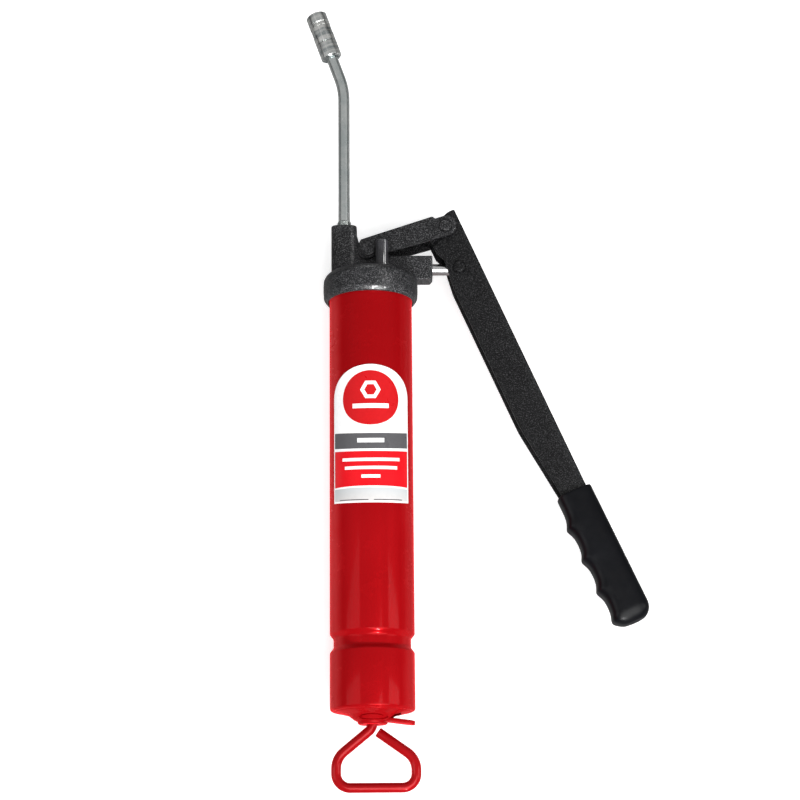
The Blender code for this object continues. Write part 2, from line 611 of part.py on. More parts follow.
def lever_grip():
    """Moulded vinyl grip with four finger swells, pushed over the lever's end."""
    step = GRIP_PITCH / GRIP_STEPS_PER_PITCH
    above = int(GRIP_FIRST_RIDGE / step)
    below = int((GRIP_END - GRIP_DOME - GRIP_START - GRIP_FIRST_RIDGE) / step)
    stations = [GRIP_START] + [GRIP_START + GRIP_FIRST_RIDGE + step * k for k in range(-above, below + 1)]
    stations += [GRIP_END - GRIP_DOME * (1 - sin(radians(angle))) for angle in (0, 14, 28, 43, 58, 74, 90)]
    shape = bmesh.new()
    rings = [[shape.verts.new(point) for point in grip_section(along)] for along in stations]
    for upper, lower in zip(rings, rings[1:]):
        for k in range(len(upper)):
            shape.faces.new((upper[k], upper[k - 1], lower[k - 1], lower[k]))
    shape.faces.new(rings[0])
    shape.faces.new(list(reversed(rings[-1])))
    bmesh.ops.recalc_face_normals(shape, faces=shape.faces)
    mesh = bpy.data.meshes.new("lever_grip")
    shape.to_mesh(mesh)
    shape.free()
    grip = add("lever_grip", mesh, lever_axis, VINYL)
    pocket = box("grip_pocket", (-TAPERED_FRONT - GAP, -LEVER_HALF - GAP, -LEVER_END - GAP),
                 (LEVER_BACK + GAP, LEVER_HALF + GAP, -GRIP_START + 0.01), lever_axis)
    cut(grip, pocket)


# ---------------------------------------------------------------- barrel, end cap and rod lock
def barrel():
    """Steel tube with a rolled groove near its foot and its bottom rim rolled in."""
    inner = BARREL_R - BARREL_WALL
    low = GROOVE_Z - GROOVE_FLAT / 2
    high = GROOVE_Z + GROOVE_FLAT / 2
    outer_groove = [(BARREL_R, high + GROOVE_TAPER), (BARREL_R - GROOVE_DEPTH, high),
                    (BARREL_R - GROOVE_DEPTH, low), (BARREL_R, low - GROOVE_TAPER)]
    profile = [(BARREL_R, BARREL_TOP), *outer_groove, (BARREL_R, 0.0022), (0.0279, 0.0007), (0.0265, 0),
               (0.0252, 0), (0.0252, BOTTOM_LIP), (inner, BOTTOM_LIP)]
    profile += [(r - BARREL_WALL, z) for r, z in reversed(outer_groove)]
    profile.append((inner, BARREL_TOP))
    turned("barrel_tube", profile, root, RED, steps=44)


def barrel_end_cap():
    """Pressed cap with a domed hub round the rod and a window for the lock plate's tab."""
    profile = [(0.0267, 0.0031), (0.0267, 0.0017), (0.0249, 0.0017), (0.0249, -0.0003), (0.0164, -0.0024),
               (0.0124, -0.0056), (0.0102, -0.0066), (0.0099, -0.0079), (0.0090, -0.0086), (0.0036, -0.0086),
               (0.0036, -0.0071), (0.0072, -0.0071), (0.0092, -0.0064), (0.0114, -0.0046), (0.0152, -0.0010),
               (0.0235, 0.0009), (0.0235, 0.0031)]
    cap = turned("barrel_end_cap", profile, root, RED, steps=30)
    cut(cap, box("plate_window", (0.0060, -0.0067, -0.0074), (0.0190, 0.0067, -0.0006), root))
    tube("spring_seat_washer", 0.0038, 0.0262, 0.0034, 0.0044, root, ZINC, steps=32)


def rod_lock():
    """The cocked plate that grips the rod, and the spring that keeps it cocked."""
    length = 0.0382
    half = 0.0058
    lock = plate("rod_lock_plate", [(0, -0.0045, 0.003), (0.018, -half, 0.01), (length, -half, 0.0045),
                                    (length, half, 0.0045), (0.018, half, 0.01), (0, 0.0045, 0.003)],
                 PLATE_THICK / 2, plate_axis, RED, turn=FLAT, arc_step=radians(20))
    round_edges(lock, 0.0004, segments=1)
    cut(lock, bar("plate_hole", 0.0043, -0.01, 0.01, plate_axis, location=(-PLATE_PIVOT[0], 0, 0)))
    coil("rod_lock_spring", 0.0058, 0.00040, -0.0015, 0.0029, 3, root, per_turn=8)


# ---------------------------------------------------------------- follower and its rod
def follower_rod():
    """One steel rod from the follower's nut to the bent triangular pull handle."""
    left_shoulder = -0.0309
    right_shoulder = -0.0315
    route = fillet([(0, ROD_TOP, 0), (0, -0.0108, 0.0080), (HANDLE_LEFT, left_shoulder, 0.0140),
                    (HANDLE_LEFT, HANDLE_LOW, 0.0104), (HANDLE_RIGHT, HANDLE_LOW, 0.0104),
                    (HANDLE_RIGHT, right_shoulder, 0.0140), (0.0036, -0.0136, 0)], False, radians(10))
    wire("follower_rod", [(p.x, 0, p.y) for p in route], ROD_R, root, RED, resolution=3)


def follower():
    """Cup seal between two steel plates, held by a nut, and the long spring behind it."""
    back = FOLLOWER_BACK
    hole = ROD_R + GAP + 0.0001
    tube("follower_back_plate", hole, 0.0243, back, back + 0.0015, root, ZINC)
    cup = [(0.0266, back + 0.0098), (0.0266, back + 0.0018), (hole, back + 0.0018), (hole, back + 0.0043),
           (0.0240, back + 0.0043), (0.0246, back + 0.0098)]
    turned("follower_cup_seal", cup, root, RUBBER, steps=36)
    tube("follower_front_plate", hole, 0.0222, back + 0.0046, back + 0.0061, root, ZINC)
    nut = hexagon("follower_nut", 0.0100, back + 0.0064, back + 0.0104, root, ZINC)
    cut(nut, bar("follower_nut_hole", hole, back, back + 0.02, root))
    low = 0.0044 + GAP + SPRING_WIRE_R
    high = back - GAP - SPRING_WIRE_R
    coil("follower_spring", SPRING_COIL_R, SPRING_WIRE_R, low, high, 9, root)


# ---------------------------------------------------------------- label
def barrel_label():
    """Printed film with an arched top, wrapped round the front of the barrel."""
    columns = 24
    outer = LABEL_INNER_R + LABEL_THICK
    shape = bmesh.new()
    rows = []
    for k in range(columns + 1):
        share = 2 * k / columns - 1
        angle = LABEL_HALF_ANGLE * share
        arch = (max(0.0, 1 - share ** 2)) ** 0.5
        for radius in (LABEL_INNER_R, outer):
            for z in (LABEL_LOW, LABEL_ARCH + (LABEL_HIGH - LABEL_ARCH) * arch):
                rows.append(shape.verts.new((radius * sin(angle), -radius * cos(angle), z)))
    for k in range(columns):
        near = rows[4 * k:4 * k + 4]
        far = rows[4 * k + 4:4 * k + 8]
        for a, b in ((0, 1), (1, 3), (3, 2), (2, 0)):
            shape.faces.new((near[a], near[b], far[b], far[a]))
    shape.faces.new([rows[i] for i in (0, 1, 3, 2)])
    shape.faces.new([rows[4 * columns + i] for i in (0, 2, 3, 1)])
    bmesh.ops.recalc_face_normals(shape, faces=shape.faces)
    mesh = bpy.data.meshes.new("barrel_label")
    shape.to_mesh(mesh)
    shape.free()
    add("barrel_label", mesh, root, LABEL_FILM)


pump_head()
head_internals()
air_bleed_valve()
extension_pipe()
coupler()
link_channel()
link_fasteners()
lever_channel()
plunger_pivot()
pump_plunger()
lever_grip()
barrel()
barrel_end_cap()
rod_lock()
follower_rod()
follower()
barrel_label()
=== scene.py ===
"""Looks of the lever-action grease gun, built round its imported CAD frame.

Every piece is drawn on the upright gun: x runs from the barrel axis towards the lever, z runs up the
barrel from its bottom rim, and -y is the front. GUN lays it down as the CAD has it. Units are metres.
"""
from math import atan2, cos, exp, hypot, pi, radians, sin, tan

import bmesh
import bpy
from mathutils import Matrix, Vector


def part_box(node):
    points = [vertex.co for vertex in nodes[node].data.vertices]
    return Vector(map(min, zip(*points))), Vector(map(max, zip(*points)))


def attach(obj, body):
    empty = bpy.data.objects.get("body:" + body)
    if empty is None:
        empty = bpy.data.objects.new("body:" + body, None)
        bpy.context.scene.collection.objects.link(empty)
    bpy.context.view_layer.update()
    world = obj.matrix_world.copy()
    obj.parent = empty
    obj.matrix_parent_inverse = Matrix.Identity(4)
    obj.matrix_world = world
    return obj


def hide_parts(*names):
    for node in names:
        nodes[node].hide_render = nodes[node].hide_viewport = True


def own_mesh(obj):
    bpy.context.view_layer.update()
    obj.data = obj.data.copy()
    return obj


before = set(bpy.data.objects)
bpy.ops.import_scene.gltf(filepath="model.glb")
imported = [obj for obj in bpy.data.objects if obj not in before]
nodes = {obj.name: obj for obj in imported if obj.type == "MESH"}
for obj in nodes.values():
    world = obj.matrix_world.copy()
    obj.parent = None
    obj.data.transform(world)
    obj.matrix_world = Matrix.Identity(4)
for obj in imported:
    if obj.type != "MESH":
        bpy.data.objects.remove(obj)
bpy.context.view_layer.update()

low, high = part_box("barrel_tube")
AXIS_X = (low.x + high.x) / 2
AXIS_Z = (low.z + high.z) / 2
BASE_Y = low.y
GUN = Matrix.Translation((AXIS_X, BASE_Y, AXIS_Z)) @ Matrix.Rotation(radians(-90), 4, "X")

BARREL_R = 0.0285
BARREL_TOP = 0.2960
COLLAR_R = 0.0327
COLLAR_BOTTOM = 0.2843
HEAD_TOP = 0.3044
HEAD_CEILING = 0.2986
PUMP_Z = 0.3085
OUTLET_X = -0.0182
OUTLET_HALF = 0.0089
OUTLET_TOP = 0.3391
LINK_PIVOT = (-0.0013, 0.3193)
LEVER_PIVOT = (0.0524, 0.3370)
LEVER_ANGLE = radians(23.7)
PLUNGER_PIVOT = (0.0618, 0.3074)
LEVER_HALF = 0.0088
SHEET = 0.0019
LINK_SHEET = 0.0016
GAP = 0.0003
LINK_HALF = LEVER_HALF + GAP + LINK_SHEET
PIPE_R = 0.0040
PIPE_BEND_Z = 0.4432
COUPLER_TILT = radians(19.4)
COUPLER_START = 0.0249
COUPLER_LENGTH = 0.0349
COUPLER_R = 0.0073
COUPLER_SPLIT = 0.0369
VALVE_SPOT = (0.0081, -0.0158, 0)
BLOCK_FOOT = 0.2996
BOSS_FOOT = 0.3020
TINY = 0.000001
FLOOR_GREY = (0.93, 0.93, 0.93)
MIRRORED_GREY = (0.28, 0.28, 0.28)


# ------------ camera, floor and light
def placed(name, data):
    """A new object in the scene that holds this mesh, curve, lamp or camera."""
    made = bpy.data.objects.new(name, data)
    bpy.context.scene.collection.objects.link(made)
    return made


def fill(node, **values):
    """Set a node's inputs by name, with _ for each space."""
    for key, value in values.items():
        node.inputs[key.replace("_", " ")].default_value = value


def make_camera():
    tilt = radians(12.1)
    roll = radians(0.45)
    height = 1.412
    right = Vector((1, 0, 0))
    up = Vector((0, cos(tilt), sin(tilt)))
    forward = Vector((0, sin(tilt), -cos(tilt)))
    turned_right = right * cos(roll) - up * sin(roll)
    turned_up = up * cos(roll) + right * sin(roll)
    spot = Vector((AXIS_X + 0.0192, BASE_Y - height * tan(radians(7.06)), AXIS_Z + height))
    place = Matrix((turned_right, turned_up, -forward)).transposed().to_4x4()
    place.translation = spot
    data = bpy.data.cameras.new("camera")
    data.lens = 95.76
    data.sensor_width = 36
    data.shift_y = 0.1548
    camera = placed("camera", data)
    camera.matrix_world = place
    bpy.context.scene.camera = camera


def make_floor():
    """A card that glows white out to the horizon, and is grey in mirror reflections."""
    shape = bmesh.new()
    bmesh.ops.create_grid(shape, x_segments=1, y_segments=1, size=6)
    mesh = bpy.data.meshes.new("floor")
    shape.to_mesh(mesh)
    shape.free()
    s = Shader("pale_floor", FLOOR_GREY, 0.9, Specular_IOR_Level=0.0, Emission_Color=(1, 1, 1, 1))
    away = s.add("ShaderNodeVectorMath", operation="LENGTH")    # metres from the gun
    s.link(s.place, away.inputs[0])
    glow = s.span(away.outputs["Value"], 0.7, 3.5, 0.46, 0.95)
    mirrored = s.add("ShaderNodeLightPath").outputs["Is Glossy Ray"]
    s.plug(s.maths("SUBTRACT", glow, mirrored, clamp=True), "Emission Strength")
    s.plug(s.mix(mirrored, FLOOR_GREY, MIRRORED_GREY), "Base Color")
    mesh.materials.append(s.material)
    placed("floor", mesh)


def area_light(name, spot, target, size, power):
    data = bpy.data.lights.new(name, "AREA")
    data.shape = "RECTANGLE"
    data.size, data.size_y = size
    data.energy = power
    light = placed(name, data)
    light.location = spot
    light.rotation_euler = (Vector(target) - Vector(spot)).to_track_quat("-Z", "Y").to_euler()


def make_lights():
    """A pale sky, three softboxes, and the lamps that light_only gives to some pieces each."""
    world = bpy.data.worlds.new("studio")
    world.use_nodes = True
    tree = world.node_tree
    sky = tree.nodes["Background"]
    fill(sky, Color=(1, 1, 1, 1))
    path = tree.nodes.new("ShaderNodeLightPath")
    split = tree.nodes.new("ShaderNodeSeparateXYZ")
    height = tree.nodes.new("ShaderNodeMapRange")
    fill(height, From_Min=0.08, From_Max=0.55, To_Min=0.05, To_Max=0.48)
    brightness = tree.nodes.new("ShaderNodeMath")
    brightness.operation = "MAXIMUM"
    for source, target in (
            (tree.nodes.new("ShaderNodeTexCoord").outputs["Generated"], split.inputs[0]),
            (split.outputs["Z"], height.inputs["Value"]),
            (height.outputs["Result"], brightness.inputs[0]),
            (path.outputs["Is Camera Ray"], brightness.inputs[1]),
            (brightness.outputs["Value"], sky.inputs["Strength"])):
        tree.links.new(source, target)
    bpy.context.scene.world = world
    bpy.context.scene.view_settings.view_transform = "Standard"
    for name, spot, target, size, power in (
            ("front_softbox", (0.40, -0.95, 1.6), (0, 0, 0), (1.5, 1.5), 33),
            ("right_softbox", (1.45, -0.25, 0.9), (0, 0, 0), (0.5, 1.0), 5),
            ("left_softbox", (-1.3, -0.3, 1.0), (0, 0, 0), (0.6, 1.2), 4),
            ("right_lamp", (0.85, 0.47, 1.25), (0, 0.1, 0), (0.22, 0.22), 5),
            ("front_lamp", (0.30, -1.55, 0.95), (-0.05, 0, 0), (0.11, 0.11), 26),
            ("head_lamp", (0.34, -1.50, 1.05), (-0.05, 0.05, 0), (0.13, 0.13), 62),
            ("left_rim", (-0.75, 0.0, -0.45), (-0.05, 0, 0), (1.0, 0.3), 13),
            ("right_rim", (0.65, 0.0, -0.45), (-0.05, 0, 0), (1.0, 0.3), 8),
            ("side_strip", (0.80, 0.15, 0.42), (0, 0.1, 0), (1.0, 0.12), 9),
            ("pipe_glow", (0.90, 0.20, 0.70), (0, 0.2, 0), (1.0, 0.5), 0.35),
            ("under_lamp", (0.05, 0.10, -0.5), (0.05, 0.1, 0), (0.7, 0.7), 11),
            ("top_lamp", (-0.17, 1.30, 0.61), (0.03, 0.28, 0), (0.40, 0.14), 4)):
        area_light(name, spot, target, size, power)


def light_only(name, lit, through=False):
    """Let a lamp reach only these pieces, so that it throws no hard shadow on the floor. One that shines
    through has nothing else in its way either."""
    group = bpy.data.collections.new(name + "_pieces")
    for lit_piece in lit:
        group.objects.link(lit_piece)
    linking = bpy.data.objects[name].light_linking
    linking.receiver_collection = group
    if through:
        linking.blocker_collection = group


# ------------ materials
class Shader:
    """A Principled material with short calls for its procedural detail. Its texture coordinates are the
    object's, which for every drawn piece are the CAD's."""

    def __init__(self, name, color, roughness, metallic=0.0, **more):
        self.material = bpy.data.materials.new(name)
        self.material.use_nodes = True
        self.tree = self.material.node_tree
        self.shader = self.tree.nodes["Principled BSDF"]
        fill(self.shader, Base_Color=(*color, 1.0), Roughness=roughness, Metallic=metallic, **more)
        self.place = self.add("ShaderNodeTexCoord").outputs["Object"]

    def add(self, kind, **settings):
        node = self.tree.nodes.new(kind)
        for key, value in settings.items():
            setattr(node, key, value)
        return node

    def link(self, source, target):
        self.tree.links.new(source, target)

    def plug(self, source, socket):
        self.link(source, self.shader.inputs[socket])

    def noise(self, scale, detail=3.0, rough=0.5, stretch=None, distortion=0.0):
        texture = self.add("ShaderNodeTexNoise")
        fill(texture, Scale=scale, Detail=detail, Roughness=rough, Distortion=distortion)
        place = self.mapped("Scale", stretch) if stretch else self.place
        self.link(place, texture.inputs["Vector"])
        return texture.outputs["Fac"]

    def mapped(self, key, value):
        """The coordinates scaled or turned, as key says."""
        mapping = self.add("ShaderNodeMapping")
        fill(mapping, **{key: value})
        self.link(self.place, mapping.inputs["Vector"])
        return mapping.outputs["Vector"]

    def cells(self, scale):
        texture = self.add("ShaderNodeTexVoronoi", feature="SMOOTH_F1")
        fill(texture, Scale=scale)
        self.link(self.place, texture.inputs["Vector"])
        return texture.outputs["Distance"]

    def span(self, source, low_in, high_in, low_out, high_out):
        node = self.add("ShaderNodeMapRange", clamp=True)
        fill(node, From_Min=low_in, From_Max=high_in, To_Min=low_out, To_Max=high_out)
        self.link(source, node.inputs["Value"])
        return node.outputs["Result"]

    def maths(self, operation, first, second=0.0, clamp=False):
        node = self.add("ShaderNodeMath", operation=operation, use_clamp=clamp)
        for socket, value in zip(node.inputs, (first, second)):
            if isinstance(value, (int, float)):
                socket.default_value = value
            else:
                self.link(value, socket)
        return node.outputs["Value"]

    def mix(self, factor, first, second):
        node = self.add("ShaderNodeMix", data_type="RGBA")
        sockets = (node.inputs[0], node.inputs[6], node.inputs[7])
        for socket, value in zip(sockets, (factor, first, second)):
            if isinstance(value, tuple):
                socket.default_value = (*value, 1.0)
            elif isinstance(value, (int, float)):
                socket.default_value = value
            else:
                self.link(value, socket)
        return node.outputs[2]

    def blend(self, source, low_in, high_in, first, second):
        """From the first colour to the second, as source goes from low_in to high_in."""
        return self.mix(self.span(source, low_in, high_in, 0, 1), first, second)

    def bump(self, height, strength, distance):
        node = self.add("ShaderNodeBump")
        fill(node, Strength=strength, Distance=distance)
        self.link(height, node.inputs["Height"])
        self.plug(node.outputs["Normal"], "Normal")
        return node.outputs["Normal"]


def red_enamel(name, coat):
    """Glossy enamel: a slight orange-peel, with cloudy colour and gloss."""
    s = Shader(name, (0.280, 0.0022, 0.004), 0.26, 0.18, Specular_IOR_Level=0.03, Coat_Weight=coat,
               Coat_Roughness=0.08, Specular_Tint=(1.0, 0.12, 0.12, 1.0), Sheen_Weight=1.0,
               Sheen_Roughness=0.26, Sheen_Tint=(1.0, 0.02, 0.03, 1.0))
    clouds = s.noise(14, 4)
    s.plug(s.blend(clouds, 0.35, 0.65, (0.268, 0.0018, 0.0034), (0.298, 0.0025, 0.0046)), "Base Color")
    s.plug(s.span(s.noise(60, 6, 0.65), 0.3, 0.7, 0.20, 0.30), "Roughness")
    s.bump(s.noise(420, 2), 0.05, 0.0004)
    return s.material


def hammertone(name, tone=0.72, coat=0.32):
    """Black hammered enamel: dimpled skin with a grey fleck under a clear gloss; tone scales its colours."""
    s = Shader(name, (0.01, 0.0102, 0.011), 0.42, 0.0, Specular_IOR_Level=0.10, Coat_Weight=coat,
               Coat_Roughness=0.12)
    dimples = s.cells(1150)
    fine = s.noise(1400, 3, 0.6, distortion=0.6)
    fleck = s.maths("MULTIPLY", s.span(fine, 0.51, 0.62, 0, 1), s.span(dimples, 0.15, 0.5, 0.3, 1.0))
    dark, light, grey = (tuple(c * tone for c in color) for color in (
        (0.0030, 0.0032, 0.0038), (0.0070, 0.0073, 0.0084), (0.105, 0.105, 0.109)))
    s.plug(s.mix(fleck, s.blend(s.noise(45, 3), 0.35, 0.7, dark, light), grey), "Base Color")
    s.plug(s.span(fine, 0.35, 0.7, 0.34, 0.50), "Roughness")
    skin = s.bump(s.maths("ADD", dimples, s.maths("MULTIPLY", fine, 0.8)), 0.5, 0.0003)
    s.plug(skin, "Coat Normal")
    return s.material


def gloss_black():
    """The same enamel where it lies smooth and thick."""
    s = Shader("black_gloss_hammertone", (0.010, 0.010, 0.012), 0.28, 0.0, Specular_IOR_Level=0.2,
               Coat_Weight=0.7, Coat_Roughness=0.07)
    fine = s.noise(1400, 3, 0.6, distortion=0.6)
    s.plug(s.blend(fine, 0.5, 0.66, (0.010, 0.010, 0.012), (0.034, 0.034, 0.036)), "Base Color")
    s.bump(fine, 0.12, 0.0002)
    return s.material


def zinc_plate():
    """Bright zinc plating over drawn or turned steel."""
    s = Shader("zinc_plate", (0.62, 0.65, 0.66), 0.28, 1.0)
    clouds = s.noise(70, 5, 0.6)
    s.plug(s.blend(clouds, 0.35, 0.65, (0.56, 0.61, 0.605), (0.76, 0.78, 0.765)), "Base Color")
    grain = s.noise(700, 3, 0.5, stretch=(1, 0.12, 1))
    s.plug(s.span(grain, 0.3, 0.7, 0.16, 0.30), "Roughness")
    s.bump(grain, 0.12, 0.0001)
    return s.material


def turned_zinc():
    """The same plating on the turned coupler, with brighter and duller rings across it, and near-white
    streaks along it that are a painted reflection; the same streaks also vary its roughness.
    """
    s = Shader("zinc_plate_turned", (0.62, 0.65, 0.66), 0.24, 1.0)
    s.place = s.mapped("Rotation", (0, 0, -COUPLER_TILT))
    rings = s.noise(330, 3, 0.6, stretch=(0.04, 1, 0.04))
    painted_reflection_streaks = s.noise(420, 3, 0.6, stretch=(1, 0.06, 1))
    tone = s.blend(rings, 0.38, 0.62, (0.34, 0.38, 0.385), (0.86, 0.86, 0.83))
    # Painted reflection: the streaks along the coupler lighten its colour towards near white.
    s.plug(s.mix(s.span(painted_reflection_streaks, 0.45, 0.68, 0, 0.6), tone, (0.97, 0.97, 0.95)), "Base Color")
    s.plug(s.span(painted_reflection_streaks, 0.3, 0.7, 0.14, 0.32), "Roughness")
    return s.material


def polished_chrome():
    s = Shader("hard_chrome", (0.80, 0.80, 0.81), 0.10, 1.0)
    lines = s.noise(900, 2, 0.5, stretch=(0.05, 1, 1))
    s.plug(s.span(lines, 0.3, 0.7, 0.05, 0.16), "Roughness")
    film = s.noise(120, 4)
    s.plug(s.blend(film, 0.45, 0.75, (0.80, 0.80, 0.81), (0.62, 0.60, 0.58)), "Base Color")
    return s.material


def dark_steel():
    s = Shader("spring_steel", (0.30, 0.30, 0.32), 0.38, 1.0)
    film = s.noise(260, 4)
    s.plug(s.blend(film, 0.35, 0.7, (0.24, 0.24, 0.26), (0.38, 0.37, 0.36)), "Base Color")
    s.plug(s.span(film, 0.3, 0.7, 0.28, 0.48), "Roughness")
    return s.material


def black_vinyl():
    """Dipped vinyl: near black, satin, with a fine leathery skin."""
    s = Shader("black_vinyl", (0.004, 0.004, 0.005), 0.36, Specular_IOR_Level=0.16)
    haze = s.noise(38, 4, 0.6)
    s.plug(s.blend(haze, 0.35, 0.7, (0.0012, 0.0013, 0.0022), (0.0024, 0.0027, 0.0040)), "Base Color")
    s.plug(s.span(s.noise(160, 5, 0.6), 0.3, 0.7, 0.30, 0.42), "Roughness")
    s.bump(s.noise(1300, 3, 0.6), 0.10, 0.0002)
    return s.material


def nitrile():
    s = Shader("nitrile_rubber", (0.02, 0.02, 0.02), 0.7)
    grain = s.noise(800, 4, 0.6)
    s.plug(s.span(grain, 0.3, 0.7, 0.6, 0.8), "Roughness")
    s.plug(s.mix(grain, (0.014, 0.014, 0.014), (0.028, 0.027, 0.026)), "Base Color")
    s.bump(grain, 0.15, 0.0002)
    return s.material


def printed(name, color, roughness=0.30, fade=None):
    """Ink or bare film on the label: nearly even, with a faint print mottle. Fade is (low height, high
    height, colour above), in metres up the barrel."""
    s = Shader(name, color, roughness, Specular_IOR_Level=0.25)
    mottle = s.noise(500, 3)
    tone = s.blend(mottle, 0.35, 0.65, tuple(c * 0.94 for c in color), color)
    if fade:
        split = s.add("ShaderNodeSeparateXYZ")
        s.link(s.place, split.inputs[0])
        tone = s.blend(split.outputs["Y"], BASE_Y + fade[0], BASE_Y + fade[1], tone, fade[2])
    s.plug(tone, "Base Color")
    s.plug(s.span(s.noise(90, 4), 0.3, 0.7, roughness - 0.04, roughness + 0.08), "Roughness")
    return s.material


# ------------ mesh helpers
def fillet(corners, closed, arc_step=radians(6)):
    """2D points of a path whose corners (a, b, radius) are rounded with arcs."""
    points = []
    count = len(corners)
    for i, (a, b, radius) in enumerate(corners):
        corner = Vector((a, b))
        if radius == 0 or (not closed and i in (0, count - 1)):
            points.append(corner)
            continue
        before = Vector(corners[i - 1][:2]) - corner
        after = Vector(corners[(i + 1) % count][:2]) - corner
        room = 0.48 * min(before.length, after.length)
        before.normalize()
        after.normalize()
        half = before.angle(after) / 2
        if half > radians(88):
            points.append(corner)
            continue
        radius = min(radius, room * tan(half))
        centre = corner + (before + after).normalized() * (radius / sin(half))
        start = corner + before * (radius / tan(half)) - centre
        sweep = start.angle_signed(corner + after * (radius / tan(half)) - centre)
        steps = max(2, round(abs(sweep) / arc_step))
        for k in range(steps + 1):
            points.append(centre + Matrix.Rotation(-sweep * k / steps, 2) @ start)
    return points


def soft(profile, radius=0.0003, arc_step=radians(22)):
    """A turned profile with every corner eased, so that its edges catch the light."""
    corners = [(r, z, 0 if r < TINY else radius) for r, z in profile]
    return [(max(0.0, p.x), p.y) for p in fillet(corners, True, arc_step)]


def to_mesh(shape):
    bmesh.ops.recalc_face_normals(shape, faces=shape.faces)
    mesh = bpy.data.meshes.new("part")
    shape.to_mesh(mesh)
    shape.free()
    return mesh


def joined(*meshes):
    """One mesh of several, with their normals outwards."""
    shape = bmesh.new()
    for mesh in meshes:
        shape.from_mesh(mesh)
    return to_mesh(shape)


def lathe(profile, steps=128):
    """Mesh of (radius, height) points turned round the local z axis. A profile that starts on the axis also
    ends there, and any other closes on itself."""
    shape = bmesh.new()
    rings = []
    for r, z in profile:
        count = 1 if r < TINY else steps
        rings.append([shape.verts.new((r * cos(2 * pi * k / steps), r * sin(2 * pi * k / steps), z))
                      for k in range(count)])
    pairs = list(zip(rings, rings[1:]))
    if len(rings[0]) > 1:
        pairs.append((rings[-1], rings[0]))
    for upper, lower in pairs:
        for k in range(steps):
            after = k + 1
            corners = (upper[k % len(upper)], upper[after % len(upper)],
                       lower[after % len(lower)], lower[k % len(lower)])
            corners = list(dict.fromkeys(corners))
            if len(corners) > 2:
                shape.faces.new(corners)
    return to_mesh(shape)


def slab(outline, half, flat=False):
    """A closed outline, drawn in x and z, 2 * half thick along y; flat draws it in x and y instead."""
    shape = bmesh.new()
    rims = []
    for side in (-half, half):
        rims.append([shape.verts.new((p[0], p[1], side) if flat else (p[0], side, p[1])) for p in outline])
    shape.faces.new(rims[0])
    shape.faces.new(rims[1])
    count = len(outline)
    for k in range(count):
        after = (k + 1) % count
        shape.faces.new((rims[0][k], rims[0][after], rims[1][after], rims[1][k]))
    return to_mesh(shape)


def turn(mesh, place):
    mesh.transform(place)
    return mesh


def at(x=0.0, y=0.0, z=0.0):
    return Matrix.Translation((x, y, z))


def block(low_corner, high_corner):
    (x0, y0, z0), (x1, y1, z1) = low_corner, high_corner
    return turn(slab([(x0, z0), (x1, z0), (x1, z1), (x0, z1)], (y1 - y0) / 2), at(y=(y0 + y1) / 2))


def drill(radius, low_z, high_z, steps=64):
    """A round cutting tool on the local z axis."""
    return lathe([(0, high_z), (radius, high_z), (radius, low_z), (0, low_z)], steps)


def level(a, b):
    """Picks the edges round a flat slab's two faces."""
    return abs(a.z - b.z) < TINY


def bends(axis, limit):
    """Picks the edges along a channel's two folds, which lie at limit on this axis (0 for x, 2 for z)."""
    return lambda a, b: min(a[axis], b[axis]) > limit - 10 * TINY and abs(a.y - b.y) < TINY


def bevelled(mesh, width, segments, wanted):
    """Round the edges that wanted(first point, second point) picks."""
    shape = bmesh.new()
    shape.from_mesh(mesh)
    edges = [e for e in shape.edges if wanted(e.verts[0].co, e.verts[1].co)]
    bmesh.ops.bevel(shape, geom=edges, offset=width, segments=segments, profile=0.5, affect="EDGES",
                    clamp_overlap=True)
    shape.to_mesh(mesh)
    shape.free()
    return mesh


def swept(points, radius, sides):
    """A round bar along 3D points, as a mesh."""
    curve = bpy.data.curves.new("route", "CURVE")
    curve.dimensions = "3D"
    curve.bevel_depth = radius
    curve.bevel_resolution = sides
    curve.use_fill_caps = True
    spline = curve.splines.new("POLY")
    spline.points.add(len(points) - 1)
    for point, spot in zip(spline.points, points):
        point.co = (*spot, 1)
    holder = placed("holder", curve)
    mesh = bpy.data.meshes.new_from_object(holder.evaluated_get(bpy.context.evaluated_depsgraph_get()))
    bpy.data.objects.remove(holder, do_unlink=True)
    shape = bmesh.new()
    shape.from_mesh(mesh)
    bmesh.ops.remove_doubles(shape, verts=shape.verts, dist=TINY)
    return to_mesh(shape)


def worked(mesh, *steps):
    """The mesh after modifiers, each given as (type, settings)."""
    holder = placed("holder", mesh)
    tools = []
    for kind, settings in steps:
        modifier = holder.modifiers.new(kind.lower(), kind)
        for key, value in settings.items():
            if key == "object":
                value = placed("tool", value)
                tools.append(value)
            setattr(modifier, key, value)
    graph = bpy.context.evaluated_depsgraph_get()
    result = bpy.data.meshes.new_from_object(holder.evaluated_get(graph))
    for gone in [holder, *tools]:
        bpy.data.objects.remove(gone, do_unlink=True)
    return result


def minus(tool):
    return ("BOOLEAN", {"operation": "DIFFERENCE", "solver": "EXACT", "object": tool})


def eased(width, segments=2, angle=38):
    return ("BEVEL", {"width": width, "segments": segments, "limit_method": "ANGLE",
                      "angle_limit": radians(angle), "harden_normals": False})


def moved(x, z, spin=0.0):
    """The place of a piece drawn round its own pivot in the gun's x-z plane."""
    return at(x, 0, z) @ Matrix.Rotation(-spin, 4, "Y")


ALONG_Y = Matrix.Rotation(radians(-90), 4, "X")     # local z turned to run from the front to the back
ALONG_X = Matrix.Rotation(radians(90), 4, "Y")      # local z turned to run towards the lever
COUPLER = moved(OUTLET_X, PIPE_BEND_Z, COUPLER_TILT)
LEVER = moved(*LEVER_PIVOT, LEVER_ANGLE)


